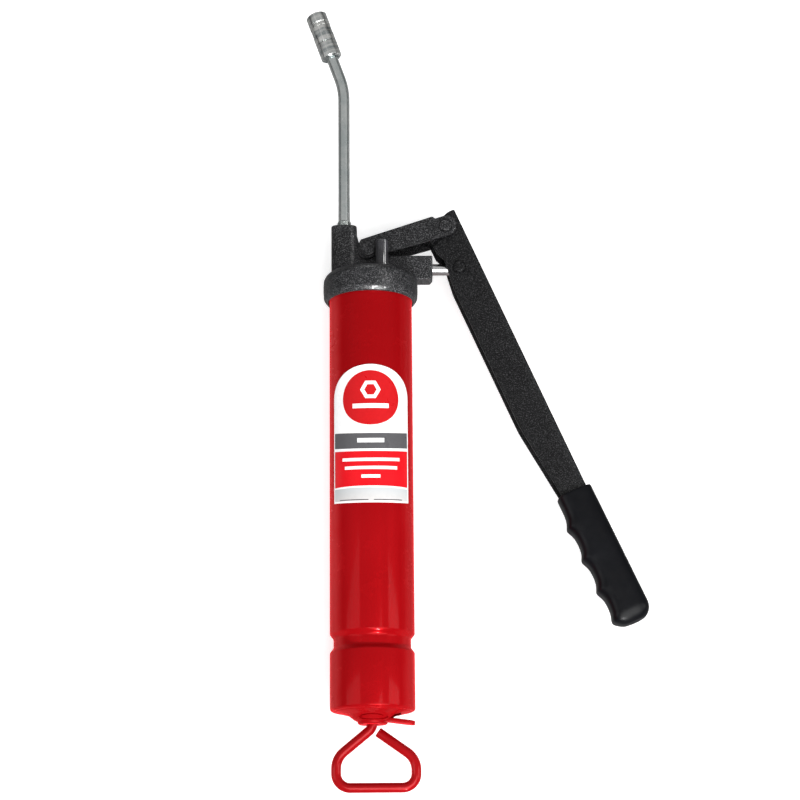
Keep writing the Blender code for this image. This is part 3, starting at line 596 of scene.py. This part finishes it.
def piece(name, mesh, material, body, stands_for=(), place=None, sharp=35):
    """A finished piece: laid down with the gun, shaded, riding on its body."""
    mesh.transform(GUN @ place if place is not None else GUN)
    mesh.name = name
    mesh.materials.clear()
    mesh.materials.append(material)
    mesh.polygons.foreach_set("use_smooth", [True] * len(mesh.polygons))
    mesh.set_sharp_from_angle(angle=radians(sharp))
    made = placed(name, mesh)
    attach(made, body)
    if stands_for:
        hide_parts(*stands_for)
    return made


def dress(node, material):
    """A CAD node whose shape is right: its material, and smooth shading between its sharp edges."""
    made = nodes[node]
    if not made.material_slots:
        made.data.materials.append(material)
    for held in made.material_slots:
        held.material = material
    made.data.polygons.foreach_set("use_smooth", [True] * len(made.data.polygons))
    weld = made.modifiers.new("weld", "WELD")
    weld.merge_threshold = 10 * TINY
    split = made.modifiers.new("sharp_edges", "EDGE_SPLIT")
    split.split_angle = radians(32)


# ------------ barrel
def make_barrel(red):
    """The open tube, with a rolled groove that shows inside too and a curled lower rim."""
    wall = 0.0015
    inner = BARREL_R - wall
    middle = 0.0455
    reach = 0.0070
    flat = 0.0025
    depth = 0.0025
    groove = []
    for k in range(25):
        z = (reach + 0.0001) * (1 - k / 12)
        share = min(1.0, max(0.0, (reach - abs(z)) / (reach - flat)))
        groove.append((depth * (share * share * (3 - 2 * share)), middle + z))
    outer = [(BARREL_R, BARREL_TOP), *[(BARREL_R - sunk, z) for sunk, z in groove]]
    outer += [(BARREL_R, 0.0022), (0.0284, 0.0014), (0.0280, 0.0007), (0.0272, 0.0002), (0.0265, 0)]
    back = [(0.0252, 0), (0.0252, 0.0014), (inner, 0.0014)]
    back += [(inner - sunk, z) for sunk, z in reversed(groove)]
    back.append((inner, BARREL_TOP))
    piece("barrel_skin", lathe(outer + back, 160), red, "barrel", ["barrel_tube"], sharp=50)


def hub_oval(middle, half_angle, half_height, low, high):
    """A closed oval patch that follows the hub's front slope, from low to high metres off its surface."""
    slope = atan2(0.0042, 0.0062)
    hub_r = 0.0133
    hub_z = -0.0045
    shape = bmesh.new()
    sheets = []
    for off in (low, high):
        sheet = []
        for k in range(41):
            share = -cos(pi * k / 40)
            angle = middle + half_angle * share
            tall = half_height * max(0.02, 1 - share ** 2) ** 0.5
            column = []
            for row in range(7):
                up = tall * (row / 3 - 1)
                r = hub_r + up * cos(slope) + off * sin(slope)
                z = hub_z + up * sin(slope) - off * cos(slope)
                column.append(shape.verts.new((r * sin(angle), -r * cos(angle), z)))
            sheet.append(column)
        sheets.append(sheet)
    close_sheets(shape, *sheets)
    return to_mesh(shape)


def close_sheets(shape, inner, outer):
    """Face two grids of vertices and join them all round, as one closed skin."""
    for sheet in (inner, outer):
        for left, right in zip(sheet, sheet[1:]):
            for k in range(len(left) - 1):
                shape.faces.new((left[k], left[k + 1], right[k + 1], right[k]))
    for a in range(len(inner) - 1):
        for row in (0, -1):
            shape.faces.new((inner[a][row], inner[a + 1][row], outer[a + 1][row], outer[a][row]))
    for end in (0, -1):
        for k in range(len(inner[end]) - 1):
            shape.faces.new((inner[end][k], inner[end][k + 1], outer[end][k + 1], outer[end][k]))


def make_end_cap(red):
    """A pressed cup with a raised hub, cut through for the lock plate and sunk to an oval in front."""
    profile = [(0.0267, 0.0031), (0.0267, 0.0017), (0.0249, 0.0017), (0.0249, -0.0003), (0.0164, -0.0024),
               (0.0124, -0.0056), (0.0102, -0.0066), (0.0099, -0.0079), (0.0090, -0.0086), (0.0036, -0.0086),
               (0.0036, -0.0071), (0.0072, -0.0071), (0.0092, -0.0064), (0.0114, -0.0046), (0.0152, -0.0010),
               (0.0235, 0.0009), (0.0235, 0.0031)]
    rounding = [0.0003, 0.0003, 0.0003, 0.0006, 0.0040, 0.0030, 0.0010, 0.0006, 0.0006, 0.0003,
                0.0003, 0.0006, 0.0010, 0.0030, 0.0040, 0.0006, 0.0003]
    corners = [(r, z, e) for (r, z), e in zip(profile, rounding)]
    cap = lathe([(p.x, p.y) for p in fillet(corners, True, radians(14))], 120)
    window = block((0.0060, -0.0067, -0.0074), (0.0190, 0.0067, -0.0006))
    oval = hub_oval(radians(4), radians(46), 0.0034, -0.0006, 0.0030)
    pad = hub_oval(0, radians(32), 0.0021, -0.0010, 0.0035)
    cap = worked(cap, minus(window), minus(worked(oval, minus(pad))))
    piece("end_cap_skin", cap, red, "barrel", ["barrel_end_cap"], sharp=40)


def make_rod_lock(red):
    """A tongue with a hole for the rod, tilted against it."""
    length = 0.0382
    half = 0.0058
    hole_x = 0.0096
    outline = fillet([(0, -0.0045, 0.003), (0.018, -half, 0.01), (length, -half, 0.0045),
                      (length, half, 0.0045), (0.018, half, 0.01), (0, 0.0045, 0.003)], True, radians(10))
    lock = bevelled(slab(outline, 0.0012, flat=True), 0.0004, 3, level)
    lock = worked(lock, minus(turn(drill(0.0043, -0.01, 0.01, 48), at(hole_x))))
    place = moved(-hole_x, -0.0029, radians(-7.5))
    piece("lock_plate_skin", lock, red, "rod_lock", ["rod_lock_plate"], place)


def make_rod(red):
    """One bent wire: the follower's rod and the pull handle."""
    left = -0.0244
    right = 0.0288
    bottom = -0.0505
    route = fillet([(0, 0.2890, 0), (0, -0.0108, 0.0080), (left, -0.0309, 0.0140),
                    (left, bottom, 0.0104), (right, bottom, 0.0104), (right, -0.0315, 0.0140),
                    (0.0036, -0.0136, 0)], False, radians(4))
    mesh = swept([(p.x, 0, p.y) for p in route], 0.0033, 9)
    mesh = worked(mesh, eased(0.0003, 2, 60))
    piece("pull_rod_skin", mesh, red, "follower", ["follower_rod"], sharp=50)


# ------------ pump head
def make_head(black):
    """The casting: collar, pump block, outlet boss and the link's lug, melted together and then bored."""
    collar = soft([(0, HEAD_TOP), (0.0268, HEAD_TOP), (0.0290, HEAD_TOP - 0.0005),
                   (0.0312, HEAD_TOP - 0.0022), (0.0325, HEAD_TOP - 0.0047), (COLLAR_R, HEAD_TOP - 0.0075),
                   (COLLAR_R, HEAD_TOP - 0.0125), (0.0324, COLLAR_BOTTOM + 0.0028), (0.0303, COLLAR_BOTTOM),
                   (BARREL_R + 0.0004, COLLAR_BOTTOM), (BARREL_R + 0.0004, HEAD_CEILING), (0, HEAD_CEILING)],
                  0.0020, radians(10))
    left = OUTLET_X - 0.0017
    end = 0.0432
    top = 0.3169
    pump = slab([(left, top), (end, top), (end, 0.3020), (end - 0.0018, BLOCK_FOOT), (left, BLOCK_FOOT)],
                0.0066)
    square = fillet([(a * OUTLET_HALF, b * OUTLET_HALF, 0.0050)
                     for a, b in ((-1, -1), (1, -1), (1, 1), (-1, 1))], True)
    boss = turn(slab(square, (OUTLET_TOP - BOSS_FOOT) / 2, flat=True),
                at(OUTLET_X, 0, (OUTLET_TOP + BOSS_FOOT) / 2))
    right = OUTLET_X + OUTLET_HALF
    lug_top = 0.3320
    lug_foot = 0.3030
    pivot_x, pivot_z = LINK_PIVOT
    lug = slab(fillet([(right - 0.004, lug_top, 0), (right, lug_top, 0.0015), (-0.0079, 0.3268, 0.003),
                       (pivot_x - 0.0058, pivot_z + 0.0031, 0.001),
                       (pivot_x - 0.0030, pivot_z + 0.0052, 0.002),
                       (pivot_x + 0.0062, pivot_z + 0.0052, 0.0050), (pivot_x + 0.0120, lug_foot, 0),
                       (right - 0.004, lug_foot, 0)], True), 0.0080)
    mesh = worked(joined(lathe(collar, 160), pump, boss, lug),
                  ("REMESH", {"mode": "VOXEL", "voxel_size": 0.00042}),
                  ("SMOOTH", {"factor": 0.5, "iterations": 5}))
    along_pump = at(z=PUMP_Z) @ ALONG_X
    mesh = worked(mesh, minus(turn(drill(0.0057, 0.0365, 0.06), along_pump)),
                  minus(turn(drill(0.0043, -0.0190, 0.04), along_pump)),
                  minus(turn(drill(0.0050, 0.3310, 0.36), at(OUTLET_X))))
    piece("pump_head_casting", mesh, black, "head", ["pump_head"], sharp=60)


def make_valve(black):
    profile = soft([(0.0021, 0.3247), (0.0039, 0.3247), (0.0044, 0.3242), (0.0044, 0.3047), (0.0026, 0.3047),
                    (0.0026, 0.2990), (0.0008, 0.2990), (0.0008, 0.3010), (0.0021, 0.3010)])
    piece("air_bleed_skin", lathe(profile, 64), black, "head", ["air_bleed_body"],
          at(*VALVE_SPOT))


def hexagon(across, low_z, high_z):
    """A bolt head or nut, given its width across the flats."""
    corner = across / 2 / cos(radians(30))
    points = fillet([(corner * cos(radians(60 * k + 30)), corner * sin(radians(60 * k + 30)), 0.0004)
                     for k in range(6)], True, radians(20))
    mesh = turn(slab(points, (high_z - low_z) / 2, flat=True), at(z=(low_z + high_z) / 2))
    return bevelled(mesh, 0.0005, 3, level)


def make_bolt(black):
    face = LINK_HALF + GAP
    place = moved(*LINK_PIVOT) @ ALONG_Y
    flange = [(0, -face), (0.0054, -face), (0.0054, -face - 0.0007), (0, -face - 0.0007)]
    shank = [(0, face + 0.0055), (0.0025, face + 0.0055), (0.0025, -face - 0.0020), (0, -face - 0.0020)]
    bolt = joined(hexagon(0.0088, -face - 0.0038, -face - 0.0006), lathe(soft(flange, 0.0002), 64),
                  lathe(soft(shank), 48))
    piece("pivot_bolt_skin", bolt, black, "head", ["link_pivot_bolt"], place)
    nut = worked(hexagon(0.0080, face, face + 0.0042), minus(drill(0.0028, -0.03, 0.03, 48)))
    piece("pivot_nut_skin", nut, black, "head", ["link_pivot_nut"], place)


def make_rivet(name, black, body, node, shank, head, half, spot):
    """A rivet through both flanges, half metres each way, with a low peened head at either end."""
    edge = half + 0.0009
    top = half + 0.0016
    front = [(0, top), (head * 0.62, top), (head * 0.92, edge + 0.0003), (head, edge - 0.0003), (head, half),
             (shank, half)]
    profile = soft(front + [(r, -z) for r, z in front[::-1]], 0.0004)
    piece(name, lathe(profile, 56), black, body, [node], moved(*spot) @ ALONG_Y, sharp=45)


# ------------ pipe and coupler
def make_pipe(zinc):
    """The bent outlet pipe, with its thread above the boss."""
    end = COUPLER_START + 0.0090
    top = (OUTLET_X - end * sin(COUPLER_TILT), PIPE_BEND_Z + end * cos(COUPLER_TILT))
    route = fillet([(OUTLET_X, 0.3314, 0), (OUTLET_X, PIPE_BEND_Z, 0.0500), (*top, 0)], False, radians(1.2))
    root = 0.00425
    crest = 0.00475
    low_z = 0.3320
    high_z = 0.3438
    count = 13
    pitch = (high_z - low_z) / count
    thread = [(0, 0.3314)]
    for k in range(count):
        z = low_z + pitch * k
        thread += [(root, z), (crest, z + pitch * 0.45), (crest, z + pitch * 0.55)]
    thread += [(root, high_z), (0.0041, 0.3441), (0, 0.3441)]
    pipe = joined(swept([(p.x, 0, p.y) for p in route], PIPE_R, 14),
                  turn(lathe(thread[::-1], 72), at(OUTLET_X)))
    piece("delivery_pipe_skin", pipe, zinc, "head", ["extension_pipe"], sharp=30)


def make_coupler(zinc):
    """A body screwed on the pipe and a nose sleeve with a groove and six flats."""
    base = COUPLER_START
    tip = COUPLER_START + COUPLER_LENGTH
    spigot = base + 0.0221
    split = COUPLER_SPLIT
    body = soft([(0.0042, spigot), (0.0055, spigot), (0.0055, split), (COUPLER_R, split),
                 (COUPLER_R, base + 0.0012), (COUPLER_R - 0.0014, base), (PIPE_R + 0.0002, base),
                 (PIPE_R + 0.0002, base + 0.0093), (0.0015, base + 0.0093), (0.0015, base + 0.0160),
                 (0.0042, base + 0.0160)], 0.00025)
    piece("coupler_body_skin", lathe(body, 96), zinc, "head", ["coupler_body"], COUPLER)
    sunk = COUPLER_R - 0.0004
    nose = [(0.0048, tip), (COUPLER_R - 0.0009, tip), (COUPLER_R, tip - 0.0008), (COUPLER_R, tip - 0.0072),
            (sunk, tip - 0.0076), (sunk, tip - 0.0082), (COUPLER_R, tip - 0.0086),
            (COUPLER_R, split + GAP), (0.0058, split + GAP), (0.0062, spigot + GAP),
            (0.0062, tip - 0.0028), (0.0048, tip - 0.0020)]
    flats = []
    for side in range(6):
        flat = block((0.00655, -0.008, tip - 0.0164), (0.02, 0.008, tip - 0.0100))
        flats.append(minus(turn(flat, Matrix.Rotation(radians(60 * side + 6), 4, "Z"))))
    piece("coupler_nose_skin", worked(lathe(soft(nose, 0.00025), 144), *flats), zinc, "head",
          ["coupler_sleeve"], COUPLER, sharp=30)


# ------------ springs
def make_spring(steel, node, body, coil_r, wire_r, ends, turns, place):
    """A wire spring on the local z axis of place, with its wire's ends at (low z, high z)."""
    low_z, high_z = ends
    count = 24 * turns
    points = [(coil_r * cos(2 * pi * k / 24), coil_r * sin(2 * pi * k / 24),
               low_z + (high_z - low_z) * k / count) for k in range(count + 1)]
    spring = piece(node.replace("spring", "coil"), swept(points, wire_r, 2), steel, body,
                   [node], place, sharp=60)
    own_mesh(spring)


def make_springs(steel):
    make_spring(steel, "follower_spring", "barrel", 0.0230, 0.0011, (0.0058, 0.2746),
                9, at())
    make_spring(steel, "outlet_check_spring", "head", 0.0021, 0.00035,
                (0.3215, 0.3307), 4, at(OUTLET_X))
    make_spring(steel, "air_bleed_spring", "head", 0.0013, 0.00025,
                (0.3014, 0.3114), 4, at(*VALVE_SPOT))
    make_spring(steel, "coupler_spring", "head", 0.0031, 0.00035,
                (COUPLER_START + 0.0165, COUPLER_START + 0.0210), 3, COUPLER)


# ------------ link and lever
def facet(face, start, stop, slope, reach):
    """A wedge that planes a slanting facet off the front face of a plate: it begins along the line from
    start to stop and slopes in for reach metres on the right-hand side of that line."""
    (x0, z0), (x1, z1) = start, stop
    wedge = block((0, -0.02, -reach), (hypot(x1 - x0, z1 - z0), 0, 0.002))
    return turn(wedge, at(x0, face, z0) @ Matrix.Rotation(-atan2(z1 - z0, x1 - x0), 4, "Y")
                @ Matrix.Rotation(slope, 4, "X"))


def ring_cut(face, radius, x, z):
    """A tool for the narrow gap pressed into a front face round a rivet head."""
    inner = radius + 0.0001
    outer = radius + 0.0007
    top = -face - 0.001
    foot = -face + 0.0007
    ring = lathe([(inner, top), (outer, top), (outer, foot), (inner, foot)], 48)
    return turn(ring, at(x, 0, z) @ ALONG_Y)


def make_link(black):
    """A folded channel, open below and at both ends of its web."""
    length = hypot(LEVER_PIVOT[0] - LINK_PIVOT[0], LEVER_PIVOT[1] - LINK_PIVOT[1])
    angle = atan2(LEVER_PIVOT[1] - LINK_PIVOT[1], LEVER_PIVOT[0] - LINK_PIVOT[0])
    top = 0.0094
    web = top - LINK_SHEET
    right = length + 0.0073
    web_end = length - 0.0065
    outline = fillet([(-0.0064, 0.0052, 0.0045), (-0.0024, top, 0.0006), (web_end, top, 0.0006),
                      (web_end + 0.0014, 0.0073, 0.0008), (right, 0.0073, 0.0071), (right, -0.0074, 0.0071),
                      (-0.0064, -0.0046, 0.0045)], True)
    fold = bends(2, top)
    mesh = bevelled(slab(outline, LINK_HALF), 0.0013, 5, lambda a, b: fold(a, b) and abs(a.x - b.x) > 0.01)
    inside = LINK_HALF - LINK_SHEET
    reach = 0.05
    far = length + reach
    channel = bevelled(block((-reach, -inside, -reach), (far, inside, web)), 0.0008, 4, bends(2, web))
    mesh = worked(mesh, minus(channel), minus(block((web_end, -inside, 0), (far, inside, reach))),
                  minus(block((-reach, -inside, 0), (-0.0026, inside, reach))),
                  eased(0.0005, 3), minus(ring_cut(LINK_HALF, 0.0042, length, 0)))
    piece("link_skin", mesh, black, "link", ["link_channel"], moved(*LINK_PIVOT, angle))
    make_rivet("upper_rivet_skin", black, "link", "link_lever_rivet", 0.0030, 0.0042, LINK_HALF + GAP,
               LEVER_PIVOT)


def make_lever(black):
    """A folded channel, open towards the barrel, joggled inside the link and creased above the grip."""
    back = 0.0107
    front = 0.0133
    tapered = 0.0075
    end = 0.2960
    outline = fillet([(-0.0060, 0.0074, 0.0030), (0.0010, 0.0074, 0.0100), (0.0062, 0.0092, 0.0100),
                      (back, 0.0092, 0.0012), (back, -end, 0), (-tapered, -end, 0), (-tapered, -0.2045, 0.02),
                      (-front, -0.1520, 0.06), (-front, -0.0430, 0.03), (-0.0106, -0.0215, 0.005),
                      (-0.0136, -0.0150, 0.001), (-0.0138, -0.0010, 0.0030)], True, radians(3))
    mesh = bevelled(slab(outline, LEVER_HALF), 0.0017, 6, bends(0, back))
    inside = LEVER_HALF - SHEET
    web = back - SHEET
    channel = bevelled(block((-0.05, -inside, -0.35), (web, inside, 0.05)), 0.0010, 4, bends(0, web))
    joggle = facet(-LEVER_HALF, (0.0010, -0.0064), (-0.0150, -0.0121), radians(22), 0.0040)
    crease = facet(-LEVER_HALF, (-0.0050, -0.1745), (0.0011, -0.2085), radians(9), 0.0095)
    rivet = LEVER.inverted() @ Vector((PLUNGER_PIVOT[0], 0, PLUNGER_PIVOT[1]))
    mesh = worked(mesh, minus(channel), eased(0.0005, 3), minus(joggle), minus(crease),
                  minus(ring_cut(LEVER_HALF, 0.0040, rivet.x, rivet.z)))
    piece("lever_skin", mesh, black, "lever", ["lever_channel"], LEVER)
    make_rivet("lower_rivet_skin", black, "lever", "plunger_rivet", 0.0022, 0.0040, LEVER_HALF + GAP,
               PLUNGER_PIVOT)


GRIP_START = 0.2070
GRIP_END = 0.3045
GRIP_NOSE = 0.0100
RIDGE_PITCH = 0.0235


def grip_ring(along, sides):
    """The grip's section, a rounded square with a finger side, at one place along the lever."""
    middle = 0.0020
    squareness = 0.57
    run = (along - GRIP_START) / (GRIP_END - GRIP_START)
    back = 0.0145 + 0.0011 * run
    first = GRIP_START + 0.0219
    ridge = min(3, max(0, round((along - first) / RIDGE_PITCH)))
    away = abs(along - first - ridge * RIDGE_PITCH)
    front = 0.0100 + 0.0029 * exp(-(away / 0.0046) ** 1.6)
    depth = 0.0118 * (0.97 + 0.05 * run)
    to_end = min(1.0, (GRIP_END - along) / GRIP_NOSE)
    close = 0.40 + 0.60 * (1 - (1 - to_end) ** 2) ** 0.5
    to_top = min(1.0, (along - GRIP_START) / 0.0009)
    close *= 0.965 + 0.035 * (1 - (1 - to_top) ** 2) ** 0.5
    ring = []
    for k in range(sides):
        angle = 2 * pi * (k + 0.5) / sides
        across = abs(cos(angle)) ** squareness
        deep = abs(sin(angle)) ** squareness * (1 if sin(angle) > 0 else -1)
        wide = across * (back - middle) if cos(angle) > 0 else -across * (front + middle)
        ring.append((middle + wide * close, depth * close * deep, -along))
    return ring


def make_grip(vinyl):
    """A dipped grip, lofted through its sections and closed with a shallow dome."""
    sides = 72
    rim = 0.0010
    stations = [GRIP_START + step for step in (0, 0.0001, 0.0003, 0.0006, rim)]
    count = 150
    straight = GRIP_END - GRIP_NOSE - GRIP_START - rim
    stations += [GRIP_START + rim + straight * k / count for k in range(1, count + 1)]
    stations += [GRIP_END - GRIP_NOSE * (1 - sin(radians(90 * k / 18))) for k in range(1, 19)]
    shape = bmesh.new()
    rings = [[shape.verts.new(point) for point in grip_ring(along, sides)] for along in stations]
    last = rings[-1]
    middle = Vector((sum(v.co.x for v in last) / sides, 0, -GRIP_END))
    for share, drop in ((0.86, 0.00022), (0.60, 0.00045), (0.30, 0.00058)):
        rings.append([shape.verts.new((middle.x + (v.co.x - middle.x) * share, v.co.y * share,
                                       -GRIP_END - drop)) for v in last])
    for upper, lower in zip(rings, rings[1:]):
        for k in range(sides):
            shape.faces.new((upper[k], upper[k - 1], lower[k - 1], lower[k]))
    shape.faces.new(rings[0])
    shape.faces.new(list(reversed(rings[-1])))
    pocket = block((-0.0078, -0.0091, -0.2963), (0.0110, 0.0091, -GRIP_START + 0.01))
    mesh = worked(to_mesh(shape), minus(pocket))
    piece("grip_skin", mesh, vinyl, "lever", ["lever_grip"], LEVER, sharp=45)


# ------------ label
LABEL_R = 0.02887
LABEL_HALF = radians(59.5)
LABEL_LOW = 0.1365
LABEL_ARCH = 0.2112
LABEL_HIGH = 0.2323
FILM = 0.00006


def arch(x):
    """The label's upper edge, x metres round the barrel from its middle."""
    share = min(1.0, abs(x) / (LABEL_R * LABEL_HALF))
    return LABEL_ARCH + (LABEL_HIGH - LABEL_ARCH) * (1 - share ** 2) ** 0.5


def wrapped(columns, lift):
    """A thin printed patch on the label; columns are (x round the barrel, lower z, upper z)."""
    shape = bmesh.new()
    sheets = []
    for radius in (LABEL_R + lift - FILM, LABEL_R + lift):
        sheet = []
        for x, lower, upper in columns:
            angle = x / LABEL_R
            sheet.append([shape.verts.new((radius * sin(angle), -radius * cos(angle),
                                           lower + (upper - lower) * k / 6)) for k in range(7)])
        sheets.append(sheet)
    close_sheets(shape, *sheets)
    bmesh.ops.remove_doubles(shape, verts=shape.verts, dist=TINY / 10)
    bmesh.ops.dissolve_degenerate(shape, edges=shape.edges, dist=TINY / 10)
    return to_mesh(shape)


def spread(half_width, lower, upper, count=60, middle=0.0):
    """Columns across the barrel, half_width each way from middle, with edges given as functions of x."""
    across = [middle - half_width * cos(pi * k / count) for k in range(count + 1)]
    return [(x, lower(x), upper(x)) for x in across]


def level_line(z, bow):
    """A straight printed line, or one that climbs by bow where the barrel turns away."""
    return lambda x: z + bow * (1 - cos(x / LABEL_R)) / (1 - cos(LABEL_HALF))


def make_label(white, red_ink, panel_ink, grey_ink, silver):
    full = LABEL_R * LABEL_HALF
    rim = 0.0011
    inner = full - rim

    def put(name, columns, layer, ink, stands_for=()):
        piece(name, wrapped(columns, layer * FILM), ink, "barrel", stands_for, sharp=50)

    put("label_base", spread(full, level_line(LABEL_LOW, 0.0022), arch, 96), 0, white, ["barrel_label"])
    for name, low_z, low_bow, high_z, high_bow, ink in (
            ("label_grey_band", 0.1735, 0.0031, 0.1842, 0.0031, grey_ink),
            ("label_red_panel", 0.1480, 0.0012, 0.1718, 0.0027, panel_ink),
            ("label_silver_strip", LABEL_LOW + rim, 0.0022, 0.1468, 0.0012, silver)):
        put(name, spread(inner, level_line(low_z, low_bow), level_line(high_z, high_bow)), 1, ink)
    tall = 0.0190
    wide = 0.0204
    centre = 0.2090

    def rim_height(x):
        return tall * max(0.0, 1 - (x / wide) ** 2) ** 0.5

    put("label_disc", spread(wide, lambda x: centre - rim_height(x), lambda x: centre + rim_height(x), 90), 1,
        red_ink)
    for name, middle, width, z, thick, bow, ink in (
            ("label_bar_name", 0, 0.0125, 0.2032, 0.0016, 0.0022, white),
            ("label_bar_band", 0, 0.0092, 0.1792, 0.0015, 0.0031, white),
            ("label_bar_top", 0, 0.0208, 0.1660, 0.0011, 0.0026, white),
            ("label_bar_mid", 0, 0.0188, 0.1604, 0.0011, 0.0022, white),
            ("label_bar_low", 0, 0.0064, 0.1545, 0.0011, 0.0020, white),
            ("label_bar_foot_left", -0.0125, 0.0108, 0.1384, 0.0003, 0.0022, grey_ink),
            ("label_bar_foot_right", 0.0125, 0.0105, 0.1384, 0.0003, 0.0022, grey_ink)):
        bar = spread(width, level_line(z - thick, bow), level_line(z + thick, bow), 24, middle)
        put(name, bar, 2, ink)
    make_emblem(white)


def make_emblem(white):
    """A plain hexagon ring, in place of any mark."""
    centre = 0.2145
    per_side = 10
    corners = [Vector((cos(radians(60 * side)), sin(radians(60 * side)))) for side in range(7)]
    path = [start + (stop - start) * k / per_side for start, stop in zip(corners, corners[1:])
            for k in range(per_side)]
    shape = bmesh.new()
    layers = []
    for far in (LABEL_R + FILM, LABEL_R + 2 * FILM):
        layer = []
        for size in (0.0070, 0.0042):
            layer.append([shape.verts.new((far * sin(p.x * size / LABEL_R), -far * cos(p.x * size / LABEL_R),
                                           centre + p.y * size)) for p in path])
        layers.append(layer)
    count = len(path)
    for k in range(count):
        after = (k + 1) % count
        for outer, inner in layers:
            shape.faces.new((outer[k], outer[after], inner[after], inner[k]))
        for under, over in zip(*layers):
            shape.faces.new((under[k], under[after], over[after], over[k]))
    piece("label_emblem", to_mesh(shape), white, "barrel", sharp=50)


# ------------ everything together
make_camera()
make_floor()
make_lights()

red = red_enamel("red_enamel", 0.11)
rod_red = red_enamel("red_enamel_wire", 0.32)
black = hammertone("black_hammertone")
lever_black = hammertone("black_hammertone_lever", 0.36, 0.07)
smooth_black = gloss_black()
zinc = zinc_plate()
coupler_zinc = turned_zinc()
chrome = polished_chrome()
steel = dark_steel()
vinyl = black_vinyl()
rubber = nitrile()

make_barrel(red)
make_end_cap(red)
make_rod_lock(red)
make_rod(rod_red)
make_head(black)
make_valve(smooth_black)
make_bolt(black)
make_pipe(zinc)
make_coupler(coupler_zinc)
make_link(black)
make_lever(lever_black)
make_grip(vinyl)
make_springs(steel)
make_label(printed("label_white", (0.90, 0.90, 0.90)), printed("label_red", (0.52, 0.005, 0.008)),
           printed("label_panel_red", (0.69, 0.003, 0.009)), printed("label_grey", (0.092, 0.090, 0.096)),
           printed("label_silver", (0.60, 0.58, 0.57), 0.34, (0.1385, 0.1465, (0.50, 0.52, 0.53))))

for look, dressed in (
        (black, ["lever_pivot_spacer"]),
        (chrome, ["outlet_check_ball", "pump_plunger"]),
        (rubber, ["head_gasket", "plunger_seal", "coupler_seal_piston", "follower_cup_seal"]),
        (steel, ["coupler_jaw_1", "coupler_jaw_2", "coupler_jaw_3", "rod_lock_spring"]),
        (zinc, ["plunger_seal_retainer", "air_bleed_pin", "plunger_spacer_front", "plunger_spacer_back",
                "spring_seat_washer", "follower_back_plate", "follower_front_plate", "follower_nut"])):
    for node in dressed:
        dress(node, look)

gun = [o for o in bpy.context.scene.objects if o.type == "MESH" and o.name != "floor"]


def wearing(*looks):
    return [o for o in gun if any(held.material in looks for held in o.material_slots)]


hammered = wearing(black, lever_black, smooth_black)
light_only("front_lamp", gun)
light_only("right_lamp", hammered)
light_only("head_lamp", [o for o in hammered if o.name in ("pump_head_casting", "air_bleed_skin")])
light_only("left_rim", wearing(red, rod_red), through=True)
light_only("right_rim", wearing(red, rod_red, zinc, coupler_zinc), through=True)
light_only("side_strip", wearing(smooth_black), through=True)
light_only("pipe_glow", wearing(zinc, coupler_zinc), through=True)
light_only("under_lamp", hammered, through=True)
light_only("top_lamp", hammered, through=True)
